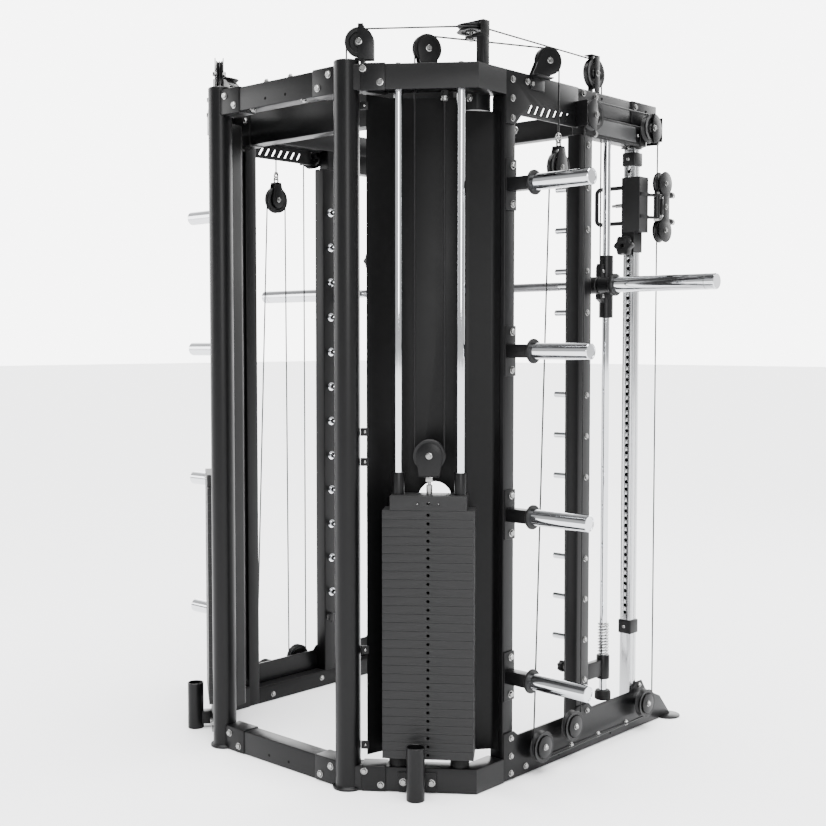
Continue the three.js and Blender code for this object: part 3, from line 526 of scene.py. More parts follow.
def stretch(name, body_a, body_b, start, end):
    """A straight cable between two bodies that slide apart: it has a ring of vertices at each end only."""
    mesh = mesh_of(name, [(tube([start, end], CABLE_RADIUS), CABLE)])
    inset = 0.02
    first, last = start.lerp(end, inset), end.lerp(start, inset)
    for side, mirror in SIDES:
        flip = Matrix.Diagonal((mirror, 1, 1, 1))
        ends = [flip @ (TO_METRES @ place) for place in (first, last)]
        shape = mesh if mirror > 0 else mirrored(mesh)
        show(f"{side}_{name}", shape, (body_a.format(side), body_b.format(side), *ends))


# ---------------------------------------------------------------- rear of the machine


def rear_posts():
    foot = [(0, 0), (45, 0), (47, 2), (47, 6), (45, 8), (POST_RADIUS + 2, 8), (POST_RADIUS, 10)]
    crown = [(POST_RADIUS, POST_TOP - 3), (POST_RADIUS - 3, POST_TOP), (11, POST_TOP)]
    socket = [(9, POST_TOP - 2), (9, POST_TOP - 12), (0, POST_TOP - 12)]
    shaft = turn(foot + crown + socket, (POST_X, 0, 0), Z, 72)
    painted("post_tube", [(shaft, PAINT)], "{}_rear_post")


def crossmember_end(z0, sign):
    """The sleeve over a crossmember's end at the post, with its bolts."""
    front, rear = -41, 23
    x0, x1 = (sign * (-POST_X - inset) for inset in (26, 122))
    sleeve = block(x0, x1, front, rear, z0 - 3 if z0 > 0 else 0.5, z0 + BEAM_HEIGHT + 3, 3)
    bolts = []
    for inset, rise in ((52, 56), (98, 22)):
        for face, way in ((rear, Y), (front, -Y)):
            bolts.append(bolt((sign * (-POST_X - inset), face, z0 + rise), way))
    return [(sleeve, PAINT), bolts]


def rear_crossmembers():
    reach, rear = -POST_X - 26, 20
    stud = [(0, 6), (5, 6), (5, 10), (4, 11), (0, 11)]
    for name, z0 in (("rear_base_crossmember", 0), ("rear_top_crossmember", BEAM_LOW)):
        beam = block(-reach, reach, -38, rear, z0, z0 + BEAM_HEIGHT, 4)
        holes = [dimple((x, rear, z0 + 24), Y, 4.5) for x in (-46, 46)]
        parts = [(beam, PAINT), holes, crossmember_end(z0, -1), crossmember_end(z0, 1)]
        if z0 > 0:
            for x in (-55, 55):
                parts.append(bolt((x, 6, BEAM_TOP), Z, 8))
                parts.append((turn(stud, (x, 6, BEAM_TOP), Z, 20), ZINC))
            parts += [bolt((x, 8, BEAM_LOW), -Z, 8) for x in (-117, 117)]
        show(name + "_beam", mesh_of(name, parts), "frame", [name])


def bay_beam(z0):
    """A beam from the rear post to the side frame, hollowed at one end to fit round the post."""
    half, radius = 30, POST_RADIUS + 0.6
    hug = math.degrees(math.asin(half / radius))
    hollow = [in_bay(s, w, 0) for s, w in arc(0, 0, radius, hug, -hug, 8)]

    def corner(w, x):
        return in_bay((POST_X + ACROSS.x * w - x) / math.cos(BAY_ANGLE), w, 0)

    stub_rear = REAR_UPRIGHT[1] + 0.5
    stub = [Vector((x, stub_rear, 0)) for x in (SKIN, SKIN + 60)]
    outline = xy([*hollow, corner(-half, SKIN), *stub, corner(half, SKIN + 60)])
    return plan_plate(outline, z0, z0 + BEAM_HEIGHT, edge=3.5)


def bay_sleeve(z0):
    low, half = z0 - 2.5 if z0 > 0 else 0.5, 33
    sleeve = bay_block(44, 118, -half, half, low, z0 + BEAM_HEIGHT + 2.5, 3)
    bolts = [bolt(in_bay(s, -half, z0 + rise), -ACROSS, 8) for s, rise in ((52, 61), (102, 21))]
    return [(sleeve, PAINT), bolts]


def stack_bays():
    caps = [bolt(in_bay(s, 0, BEAM_TOP), Z, 8) for s in ROD_PLACES]
    parts = [(bay_beam(0), PAINT), (bay_beam(BEAM_LOW), PAINT), bay_sleeve(0), bay_sleeve(BEAM_LOW), caps]
    painted("bay_beams", parts, "{}_stack_bay_frame")

    rods = []
    for s in ROD_PLACES:
        guide = post(s, 0, BEAM_HEIGHT - 2, BEAM_LOW + 2, ROD_RADIUS, segments=40)
        rods.append((moved(guide, BAY), CHROME))
    pair("guide_rods", "frame", rods)

    bumper = [(0, 75.5), (27, 75.5), (28.5, 77), (28.5, 99), (26, 105.5), (13.5, 105.8), (0, 105.8)]
    bumpers = [(turn(bumper, in_bay(s, 0, 0), Z, 36), RUBBER) for s in ROD_PLACES]
    pair("stack_bumpers", "frame", bumpers)

    place = in_bay(STACK_ALONG + STACK_WHEEL, 0, 0)
    nut = [(0, 2044), (12, 2044), (12, 2059.5), (0, 2059.5)]
    socket = [(0, ANCHOR_FOOT), (8.5, ANCHOR_FOOT), (11, 2031), (11, 2037)]
    socket += [(8.5, 2038), (8.5, 2045), (0, 2045)]
    painted("cable_anchor", [(turn(nut, place, Z, 6), PAINT), (turn(socket, place, Z, 32), ZINC)])


def barbell_holder():
    along, across, radius, height = HOLDER
    inside = radius - 3
    profile = [(0, 0), (radius - 1, 0), (radius, 1), (radius, height - 1), (radius - 1, height)]
    profile += [(inside + 1, height), (inside, height - 1), (inside, 8), (0, 8)]
    parts = [
        (turn(profile, in_bay(along, across, 0), Z, 48), PAINT),
        (bay_block(along - 57, along + 57, -36.5, -30, 8, 62, 1.5), PAINT),
        (bay_block(along - 20, along + 20, across + 20, -36, 15, 58, 3), PAINT),
        [bolt(in_bay(along + s, -36.5, 33), -ACROSS) for s in (-42, 42)],
    ]
    painted("barbell_holder", parts)


# ---------------------------------------------------------------- pulleys


def wheel(middle, axis, reach, bearing=True):
    """A grooved nylon wheel with a dished web, raised hub and steel bearing ring."""
    rim = reach + 4.2
    hub = [(7, 9), (14.5, 9), (16, 7.5), (17, 5)]
    web = [(reach - 11, 5), (reach - 9, 8), (reach - 7, 9.6)]
    flange = [(rim - 1, 10), (rim, 9.2), (rim - 0.6, 8.2)]
    side = hub + web + flange + [(reach - 1, 3.6), (reach - 3.6, 0.8)]
    profile = side + [(radius, -along) for radius, along in reversed(side)] + [side[0]]
    parts = [(turn(profile, middle, axis, 56), NYLON)]
    if bearing:
        for way in (1, -1):
            ring = [(7, way * 8.5), (11.5, way * 8.5), (11.5, way * 9.4), (7, way * 9.4), (7, way * 8.5)]
            parts.append((turn(ring, middle, axis, 32), ZINC))
    return parts


def cheeked(middle, axis, foot_z, cheek, foot=26, thickness=4):
    """A wheel's holder: two flat cheeks of the given outline, a foot, the axle bolt and its heads."""
    frame_at = Matrix.Translation(middle) @ Matrix((axis, Z.cross(axis), Z)).transposed().to_4x4()
    rise, half = foot_z - middle.z, foot / 2
    way = 1 if rise > 0 else -1
    parts = []
    for inner in (CHEEK_INNER, -CHEEK_OUTER):
        shape = plate(cheek, CHEEK_PLATE, Matrix.Translation((inner, 0, 0)) @ UPRIGHT, edge=0.5)
        parts.append((moved(shape, frame_at), PAINT))
    base = block(-CHEEK_OUTER, CHEEK_OUTER, -half, half, rise, rise - way * thickness, 1)
    parts.append((moved(base, frame_at), PAINT))
    parts.append((rod(middle - axis * 14, middle + axis * 14, AXLE_RADIUS), ZINC))
    for way in (1, -1):
        parts.append(bolt(middle + axis * CHEEK_OUTER * way, axis * way, 7.5))
    return parts


def pulleys():
    for name, (middle, axis) in PULLEYS.items():
        pair(name + "_wheel", "{}_" + name, wheel(middle, axis, REACH[name]), "{}_" + name)


def top_brackets():
    middle, axis = PULLEYS["post_top_pulley"]
    foot = POST_TOP + 1
    rise, rim = foot - middle.z, SMALL + 4
    crest = rim + 9
    outline = [(3, rise), (3, crest), (-13, crest), (-13, rim * 0.951)]
    outline += arc(0, 0, rim, 114, 180, 11) + [(-rim, rise)]
    pedestal = bay_block(42, 56, -CHEEK_OUTER, CHEEK_OUTER, BEAM_TOP - 1, 2156, 1.5)
    parts = [(pedestal, PAINT), cheeked(middle, axis, foot, outline[::-1], thickness=5)]
    middle, axis = PULLEYS["stack_top_pulley"]
    rise = BEAM_TOP - middle.z
    round_cheek = hull(circle(0, 0, 34, 40) + [(25, rise), (-25, rise)])
    parts.append(cheeked(middle, axis, BEAM_TOP - 1, round_cheek, 50))
    painted("bay_pulley_brackets", parts)

    middle, _ = PULLEYS["corner_pulley"]
    back, front = middle.y + 15, middle.y - 15
    outer, inner = SKIN + 4, middle.x + 12
    stand = [
        (block(outer, outer + 27, front, back, BEAM_TOP - 1, 2215, 3), PAINT),
        (block(outer, inner, front, back, 2213, 2221, 1.5), PAINT),
        (block(outer, outer + 11, front, back, 2220, 2257, 1.5), PAINT),
        (block(outer, inner, front, back, 2255.8, 2259.8, 1), PAINT),
        (post(middle.x, middle.y, 2220, 2257, AXLE_RADIUS), ZINC),
        [bolt((middle.x, middle.y, z), way, 6) for z, way in ((2213, -Z), (2254, Z))],
    ]
    painted("corner_pulley_stand", stand)

    middle, axis = PULLEYS["side_top_pulley"]
    foot, front, back = 2130, middle.y + 2, middle.y + 70
    rise = foot - middle.z
    sloped = hull(circle(0, 0, 36, 40) + [(6, rise), (58, rise), (58, rise + 10)])
    parts = [
        (block(SKIN - 4, OUTER, front, back, 2092, BEAM_TOP - 0.5, 1.5), PAINT),
        (block(middle.x - 14, OUTER, front, back, 2127, BEAM_TOP - 1, 1.5), PAINT),
        cheeked(middle, axis, foot, sloped),
        [bolt((SKIN, middle.y + 84, 2112), -X, 8)],
    ]
    middle, axis = PULLEYS["smith_top_pulley"]
    rise, crest = BEAM_TOP - middle.z, LARGE + 12
    tall = [(13, rise), (13, crest), (-13, crest), (-13, rise)]
    x0, x1, top = middle.x - CHEEK_OUTER, middle.x + CHEEK_OUTER, middle.z + crest
    lid = block(x0, x1, middle.y - 13, middle.y + 34, top - CHEEK_PLATE, top, 1)
    parts += [cheeked(middle, axis, BEAM_TOP - 1, tall), (lid, PAINT)]
    painted("side_pulley_brackets", parts)


def side_axles():
    """Spacer, axle, outer cover plate and nut of the five pulleys that run beside the frame."""
    rim, hub = LARGE + 5, circle(0, 0, 12)
    face = CABLE_X - 14
    ahead = arc(0, 0, rim, 90, 270, 18)
    behind = [(-u, v) for u, v in ahead]
    covers = {"rail_rear_pulley": behind + hub, "rail_front_pulley": ahead + hub}
    for name in ("base_front_pulley", "base_rear_pulley", "base_mid_pulley"):
        covers[name] = circle(0, 0, 34, 40)
    parts = []
    for name, cover in covers.items():
        middle, _ = PULLEYS[name]
        y, z = middle.y, middle.z
        outline = [(y + u, z + v) for u, v in hull(cover)]
        parts += [
            (rod((OUTER, y, z), (CABLE_X + 11, y, z), 12), PAINT),
            (rod((OUTER, y, z), (face + 1, y, z), AXLE_RADIUS), ZINC),
            (side_plate(outline, face, face + 3), PAINT),
            bolt((face, y, z), -X, 8),
        ]
        if name.startswith("rail"):
            way = 1 if name == "rail_rear_pulley" else -1
            edge = y + way * (rim + 1.5)
            parts.append((block(face, OUTER, edge - 1.5, edge + 1.5, z - 40, z + 40, 1), PAINT))
    painted("side_pulley_axles", parts)


# ---------------------------------------------------------------- weight stack


def stack_plate(z0, z1, width):
    """One plate, seen along the bay, with the hole that the selector pin goes into."""
    half = width / 2
    outline = [(-half, z0), (half, z0), (half, z1), (-half, z1)]
    raised = plate(outline, PLATE_DEPTH, STANDING, [circle(0, (z0 + z1) / 2, PIN_HOLE)], edge=1.4)
    return moved(raised, BAY @ Matrix.Translation((STACK_ALONG, PLATE_DEPTH / 2, 0)))


def weight_stacks():
    plates = []
    for k in range(PLATE_COUNT):
        z0 = PLATE_FROM + k * PLATE_PITCH
        plates.append((stack_plate(z0, z0 + PLATE_PITCH - 0.3, PLATE_WIDTH), IRON))
    # A block of painted shade inside the plates, seen through their pin holes, and a disc of painted shade
    # for the hole in the top plate.
    painted_shade_core = bay_block(STACK_ALONG - 20, STACK_ALONG + 20, -20, 20, PLATE_FROM + 2, HEAD_FROM - 2)
    mouth = dimple(in_bay(STACK_ALONG, 0, HEAD_FROM - 0.3), Z, 13)
    pair("stack_plates", "frame", [plates, (painted_shade_core, HOLE_SHADE), mouth], "{}_weight_stack")

    bush = [(13, 884), (18, 884), (18, 946), (16.5, 950), (13, 950), (13, 884)]
    head = [(stack_plate(HEAD_FROM + 0.2, HEAD_TO, HEAD_WIDTH), IRON)]
    head += [(turn(bush, in_bay(s, 0, 0), Z, 36), NYLON) for s in ROD_PLACES]
    selector = post(STACK_ALONG, 0, PLATE_FROM + 4, HEAD_FROM + 1, 9.5, segments=40)
    head.append((moved(selector, BAY), SATIN))
    stem = [(0, HEAD_TO - 1), (9, HEAD_TO - 1), (9, 913), (4.5, 915), (4.5, 924), (0, 924)]
    head.append((turn(stem, in_bay(STACK_ALONG, 0, 0), Z, 32), ZINC))
    nut = bay_block(STACK_ALONG - 10, STACK_ALONG + 10, -10, 10, FORK_FOOT - 15, FORK_FOOT + 0.5, 1)
    head.append((nut, ZINC))
    face = -PLATE_DEPTH / 2
    head += [dome(in_bay(STACK_ALONG + side * 31, face, HEAD_FROM + 20), -ACROSS, 3) for side in (-1, 1)]
    middle, axis = PULLEYS["stack_pulley"]
    rise = FORK_FOOT - middle.z
    cheek = hull(circle(0, 0, 38, 32) + [(30, rise), (-30, rise)])
    head.append(cheeked(middle, axis, FORK_FOOT, cheek, 60))
    pair("head_plate_and_fork", "{}_head", head, "{}_head_plate")


def sheet_outline(line):
    """The plan of a bent sheet from the line of its inner face."""
    outer = [place + Z.cross(along) * SHEET_GAUGE for place, along in zip(line, headings(line))]
    return xy(line + outer[::-1])


def shrouds():
    """The bent sheet in front of the stack, with rounded bends and a tall slot that bares the pin holes."""
    low, top, across, bend_size = 98, 2054, PLATE_DEPTH / 2 + 27, 8
    wall_from, wall_to = 132, 350
    corners = [
        in_bay(58, 5, 0),
        in_bay(wall_from, across, 0),
        in_bay(wall_to, across, 0),
        Vector((OUTER + 39, REAR_UPRIGHT[1] + 3, 0)),
        Vector((OUTER + 15, REAR_UPRIGHT[1] + 3, 0)),
    ]
    bends = []
    for before, corner, after in zip(corners, corners[1:], corners[2:]):
        back, ahead = (before - corner).normalized(), (after - corner).normalized()
        steps = [k / 4 for k in range(5)]
        bends.append([corner + back * bend_size * (1 - u) ** 2 + ahead * bend_size * u ** 2 for u in steps])
    slanted = sheet_outline([corners[0], *bends[0]])
    front = sheet_outline([*bends[1], *bends[2], corners[-1]])

    left, right = wall_from + bend_size - 0.2, wall_to - bend_size + 0.2
    outline = [(left, low), (right, low), (right, top), (left, top)]
    along, radius, slot_from, slot_to = SLOT
    slot = arc(along, slot_to, radius, 0, 180, 20) + arc(along, slot_from, radius, 180, 360, 20)
    wall = plate(outline, SHEET_GAUGE, STANDING, [slot], edge=0.4)
    parts = [
        (plan_plate(slanted, low, top, edge=0.4), SHEET),
        (moved(wall, BAY @ Matrix.Translation((0, across + SHEET_GAUGE, 0))), SHEET),
        (plan_plate(front, low, 2015, edge=0.4), SHEET),
    ]
    for z in SHROUD_BRACKETS:
        parts.append((bay_block(POST_RADIUS + 0.6, 62, 3, 8, z - 12, z + 12, 1), PAINT))
        parts.append(dome(in_bay(52, 3, z), -ACROSS, 5))
    painted("shroud_sheet", parts, "{}_stack_shroud")


# ---------------------------------------------------------------- side frames


def side_tubes():
    rail_rear = REAR_UPRIGHT[0] + 2
    outline = [(rail_rear, 0), (rail_rear, RAIL_HEIGHT), (RAIL_FRONT + 57, RAIL_HEIGHT)]
    outline += [(RAIL_FRONT, 5), (RAIL_FRONT, 0)]
    pieces = [
        block(OUTER, INNER, *REAR_UPRIGHT, 0, BEAM_LOW + 1, 4),
        block(OUTER, INNER, *MID_UPRIGHT, RAIL_HEIGHT - 2, CHANNEL[2] + 2, 4),
        block(OUTER, INNER, SIDE_FRONT, REAR_UPRIGHT[1], BEAM_LOW, BEAM_TOP, 4),
        side_plate(outline, OUTER, INNER, edge=2.5),
        block(OUTER - 3, OUTER + 1, SIDE_FRONT, -1012, BEAM_LOW + 1, BEAM_TOP + 1, 1),
    ]
    cap = block(OUTER + 3, INNER - 3, SIDE_FRONT - 2, SIDE_FRONT + 4, BEAM_LOW + 3, BEAM_TOP - 3, 1)
    parts = [(piece, PAINT) for piece in pieces] + [(cap, NYLON)]
    painted("side_tubes", parts, "{}_side_frame")

    foot = [(0, 0), (43, 0), (45, 1.5), (45, 5), (43.5, 6), (0, 6)]
    painted("front_feet", [(turn(foot, (-620, -1275, 0), Z, 56), PAINT)])


def side_bolts():
    """Bolts and small holes of the side frame, at pairs of y and z on its outer and inner faces."""

    def row(x, places, size=8):
        return [bolt((x, y, z), -X, size) for y, z in places]

    parts = [
        row(OUTER, [(PEG_Y - 10, PEG_TOP - k * PEG_PITCH) for k in range(PEG_COUNT + 1)]),
        row(OUTER, [(PEG_Y - 10, 1962), (-805, 2001), (-736, 2122), (-806, 2119)]),
        row(OUTER - 3, [(-1034, 2117)]),
        row(SKIN, [(-365, 2108), (-365, 2053), (-365, 1995), (-458, 2108)]),
        row(SKIN, [(-370, 131), (-370, 76), (-370, 23), (-444, 27)]),
        row(SKIN, [(y, 34.5) for y in (-685, -838, -1008)]),
        [bolt((INNER, y, z), X, 8) for y, z in ((-451, 23), (-700, 34), (-1010, 34))],
        [dimple((OUTER, y, 2118), -X, 5) for y in (-670, -840)],
        dimple((OUTER - 3, -1100, 2110), -X, 5),
        [dimple((SKIN, y, 20), -X, 4) for y in (-619, -914)],
        row(SKIN, [(-1090, 148), (-775, 128)], 7),
        (block(SKIN - 3, SKIN + 1, -1015, -560, 33, 36, 1), PAINT),
    ]
    pair("side_bolts", "frame", parts)


def gussets():
    front, rear = REAR_UPRIGHT
    foot, low, top, tip = 1978, 2007, BEAM_TOP - 1, -700
    outline = [(rear, top), (rear, foot), (front + 6, foot), (front - 22, low), (tip, low), (tip, top)]
    slots = []
    for k in range(7):
        y = -450 - 31 * k
        slots.append([(y, 2019), (y + 10, 2019), (y - 6, 2045), (y - 16, 2045)])
    painted("slotted_gusset", [(side_plate(outline, SKIN, OUTER, slots), PAINT)])


def base_webs():
    (front, rear), (mid_front, mid_rear) = REAR_UPRIGHT, MID_UPRIGHT
    edge, peak = 134, 150
    outline = [(rear, 6), (rear, peak - 4), (rear - 4, peak), (front + 4, peak), (front, peak - 1)]
    outline += [(front - 20, edge), (mid_rear + 14, edge), (mid_rear, peak), (mid_front + 2, peak)]
    outline += [(mid_front - 15, edge), (-1036, edge), (-1072, peak + 12), (-1108, peak + 12)]
    outline += [(-1135, 123), (-1228, 82), (RAIL_FRONT + 3, 6)]
    painted("base_web", [(side_plate(outline, SKIN, OUTER + 0.5, edge=1), PAINT)])


def pulley_channels():
    front, rear, low = CHANNEL
    nut = [(0, 0), (13, 0), (13, 9), (8, 10), (8, 16), (0, 16)]
    parts = [
        (block(OUTER + 1, INNER - 1, front, rear, low, BEAM_LOW + 1, 3), PAINT),
        (block(OUTER - 3, OUTER + 2, front + 8, rear - 4, low + 4, BEAM_LOW - 2, 1.5), PAINT),
        (block(OUTER - 4.5, OUTER - 2, front + 62, rear - 52, low + 12, BEAM_LOW - 10, 1), PANEL),
        (block(OUTER - 6, INNER, front - 2, front + 34, low + 2, BEAM_LOW - 2, 3), NYLON),
        [dome((OUTER - 3, y, low + 35), -X, 5) for y in (front + 48, rear - 30)],
        (turn(nut, (CABLE_X + 6, front - 22, 2010), -Y, 6), ZINC),
        (block(CABLE_X - 2, OUTER + 4, front - 22, front - 16, 1998, 2034, 1), PAINT),
    ]
    painted("pulley_channel", parts)


def storage_horns():
    collar, length = HORN_RADIUS + 12, HORN_NECK - HORN_TIP
    flange = [(0, 0), (collar - 2, 0), (collar, 2), (collar, 6), (collar - 2, 8), (0, 8)]
    sleeve = [(0, 0), (HORN_RADIUS, 0), (HORN_RADIUS, length - 2), (HORN_RADIUS - 2, length)]
    sleeve += [(HORN_RADIUS - 5, length), (HORN_RADIUS - 5.5, length - 1.5), (0, length - 1.5)]
    brackets, plated = [], []
    for z in HORN_HEIGHTS:
        brackets += [
            (block(SKIN, OUTER + 0.5, HORN_Y - 25, HORN_Y + 25, z - 75, z + 75, 1.5), PAINT),
            (block(HORN_NECK, OUTER, HORN_Y - 20, HORN_Y + 20, z - 20, z + 20, 3.5), PAINT),
            (turn(flange, (HORN_NECK + 1, HORN_Y, z), -X, 56), PAINT),
            [bolt((SKIN, HORN_Y - 7, z + d), -X) for d in (-57, 57)],
        ]
        plated.append((turn(sleeve, (HORN_NECK, HORN_Y, z), -X, 56), CHROME))
    painted("horn_brackets", brackets)
    pair("horn_sleeves", "frame", plated)


def bar_pegs():
    length = PEG_TIP - INNER
    profile = [(0, -1), (16, -1), (16, 2), (PEG_RADIUS, 3), (PEG_RADIUS, length - 2)]
    profile += [(PEG_RADIUS - 2, length), (0, length)]
    places = [(INNER, PEG_Y, PEG_TOP - k * PEG_PITCH) for k in range(PEG_COUNT)]
    pair("bar_pegs", "frame", [(turn(profile, place, X, 32), CHROME) for place in places])


def spring_coil(x, y, z0, z1, radius, wire, turns):
    count = turns * 20
    round_path = arc(x, y, radius, 0, 360 * turns, count)
    return tube([(*place, z0 + (z1 - z0) * k / count) for k, place in enumerate(round_path)], wire, 8)


def guide_rods_of_bar():
    guide = post(GUIDE_X, GUIDE_Y, 140, CHANNEL[2] + 1, ROD_RADIUS, segments=40)
    pair("bar_guide_rod", "frame", [(guide, CHROME)])
    foot = [(0, 134.6), (25, 134.6), (27, 137), (27, 158), (23, 165), (17, 166), (0, 166)]
    stopper = [(0, 205), (20, 205), (22, 207), (22, 282), (20, 285), (0, 285)]
    cap = [(0, 388), (18, 388), (18, 393), (0, 393)]
    rings = ((foot, RUBBER), (stopper, PAINT), (cap, ZINC))
    knob_y, knob_z = PEG_Y + 20, 270
    knob_at = aim(Vector((INNER + 10, knob_y, knob_z)), X)
    parts = [
        [(turn(profile, (GUIDE_X, GUIDE_Y, 0), Z, 40), surface) for profile, surface in rings],
        (spring_coil(GUIDE_X, GUIDE_Y, 286, 388, 17.5, 1.8, 10), ZINC),
        (block(GUIDE_X - 10, GUIDE_X + 10, GUIDE_Y + 20, MID_UPRIGHT[0] + 1, 218, 272, 2), PAINT),
        (rod((INNER - 1, knob_y, knob_z), (INNER + 14, knob_y, knob_z), 8), ZINC),
        (plate(star_outline(19, 6), 16, knob_at, edge=3), NYLON),
    ]
    painted("buffer_and_foot", parts)


# ---------------------------------------------------------------- cable column and trolley


def cable_columns():
    """A chromed square tube whose rear wall has the row of adjustment holes."""
    x0, x1 = COLUMN_X - COLUMN_HALF, COLUMN_X + COLUMN_HALF
    front, rear = COLUMN_Y - COLUMN_HALF, COLUMN_Y + COLUMN_HALF
    z0, z1 = column_low.z, column_high.z - 6
    wall = 3
    facing = Matrix((-X, Z, Y)).transposed().to_4x4()
    outline = [(-x1, z0), (-x0, z0), (-x0, z1), (-x1, z1)]
    holes = [circle(-COLUMN_X, 407 + 25 * k, 6.3) for k in range(61)]
    rear_wall = plate(outline, wall, Matrix.Translation((0, rear - wall, 0)) @ facing, holes, edge=0.6)
    body = block(x0, x1, front, rear - wall - 2, z0, z1, 2.5)
    # A sheet of painted shade just behind the rear wall, seen through its holes.
    hole_shade_sheet = block(x0 + 3.2, x1 - 3.2, rear - wall - 3, rear - wall - 1.8, z0 + 1, z1 - 1, 0.3)
    parts = [(rear_wall, SATIN), (body, SATIN), (hole_shade_sheet, HOLE_SHADE)]
    for x in (x0, x1 - wall):
        parts.append((block(x, x + wall, rear - wall - 6, rear - 1, z0, z1, 0.6), SATIN))
    pair("column_tube", "frame", parts, "{}_cable_column")

    parts = []
    for low, high in ((1925, 1970), (334, 381)):
        parts.append((block(x0 - 5, x1 + 5, front - 5, rear + 5, low, high, 4), NYLON))
        parts.append(dome((COLUMN_X, rear + 5, (low + high) / 2), Y, 6))
    parts.append((block(x0, x1 + 8, front - 8, rear + 8, z1, z1 + 5.5, 1), PAINT))
    parts.append(bolt((COLUMN_X, rear + 2, z1 + 4), Y, 6))
    pair("column_stops", "frame", parts)


def swivel_lug(z0, z1):
    """A flat lug from the sleeve's front outer corner forward to the swivel pin, with a round nose."""
    pivot = Vector((CABLE_X, SWIVEL_Y, 0))
    corner = Vector((SLEEVE_OUTER + 12, SLEEVE_FRONT, 0))
    direction = (corner - pivot).normalized()
    side = Z.cross(direction)
    root = corner + direction * 6
    outline = [pivot + u * side - v * direction for u, v in arc(0, 0, LUG_HALF, 0, 180, 8)]
    outline += [root - side * LUG_HALF, root + side * LUG_HALF]
    return plan_plate(hull(xy(outline)), z0, z1, edge=0.8)


def trolleys():
    """The sleeve that slides on the column, with its handle, its two lugs and the swivel pin."""
    bore = 21.2
    left, right, ahead, behind = COLUMN_X - bore, COLUMN_X + bore, COLUMN_Y - bore, COLUMN_Y + bore
    hole = [(left, ahead), (right, ahead), (right, behind), (left, behind)]

    def sleeve(x0, x1, z0, z1, inset=0):
        front, rear = SLEEVE_FRONT + inset, SLEEVE_REAR - inset
        return plan_plate([(x0, front), (x1, front), (x1, rear), (x0, rear)], z0, z1, [hole], edge=1.2)

    low, high = HANDLE
    middle_z, start, bend_x, corner = (low + high) / 2, SLEEVE_INNER - 2, SLEEVE_INNER + 102, 16
    path = [(start, high), *arc(bend_x, high - corner, corner, 90, 0, 8)]
    path += [*arc(bend_x, low + corner, corner, 0, -90, 8), (start, low)]
    parts = [
        (sleeve(SLEEVE_OUTER, SLEEVE_INNER, TROLLEY_WAIST, TROLLEY_TOP), PAINT),
        (sleeve(COLUMN_X - 24, SLEEVE_INNER, TROLLEY_FROM, TROLLEY_WAIST + 1, 1), NYLON),
    ]
    front, rear = SLEEVE_FRONT - 3, SLEEVE_REAR - 6
    for z0, z1 in LUG_HEIGHTS:
        parts.append((swivel_lug(z0, z1), PAINT))
        parts.append((block(SLEEVE_OUTER - 2.5, SLEEVE_OUTER + 2, front, rear, z0 - 2, z1 + 2, 1), PAINT))
    (_, lug_top), (lug_foot, _) = LUG_HEIGHTS
    parts.append((post(CABLE_X, SWIVEL_Y, lug_foot - 3, lug_top + 3, 5.5), ZINC))
    nut = [(0, 0), (11, 0), (11, 7), (0, 7)]
    parts += [(turn(nut, (CABLE_X, SWIVEL_Y, z), way, 6), ZINC) for z, way in ((lug_top, Z), (lug_foot, -Z))]
    parts.append((tube([(x, COLUMN_Y, z) for x, z in path], 7, 20), PAINT))
    for first, last, radius in ((-1, 40, 7), (38, 54, 5)):
        ends = [(SLEEVE_INNER + reach, COLUMN_Y, middle_z) for reach in (first, last)]
        parts.append((rod(*ends, radius), ZINC))
    collar = [(COLUMN_X, SLEEVE_REAR + reach, PIN_HEIGHT) for reach in (-1, 5)]
    parts.append((rod(*collar, 12), ZINC))
    pair("trolley_body", "{}_trolley", parts, "{}_trolley")


def star_outline(radius, lobes):
    outline = []
    for u, v in circle(0, 0, radius, lobes * 12):
        swell = 0.9 + 0.1 * math.cos(lobes * math.atan2(v, u))
        outline.append((swell * u, swell * v))
    return outline


def pop_pins():
    """The star knob with its steel pin."""
    face = SLEEVE_REAR + 6
    centre = Vector((COLUMN_X, face, PIN_HEIGHT))
    knob = plate(star_outline(35, 6), 28, aim(centre, Y), [circle(0, 0, 6)], edge=6)
    parts = [
        (knob, NYLON),
        (rod((COLUMN_X, COLUMN_Y + 20.6, PIN_HEIGHT), (COLUMN_X, face + 1, PIN_HEIGHT), 4), ZINC),
        # Painted shade inside the knob's bore, around the pin.
        (turn([(0, 2), (7, 2), (7, 20), (0, 20)], centre, Y, 24), HOLE_SHADE),
    ]
    pair("star_knob", "{}_pop_pin", parts, "{}_pop_pin")


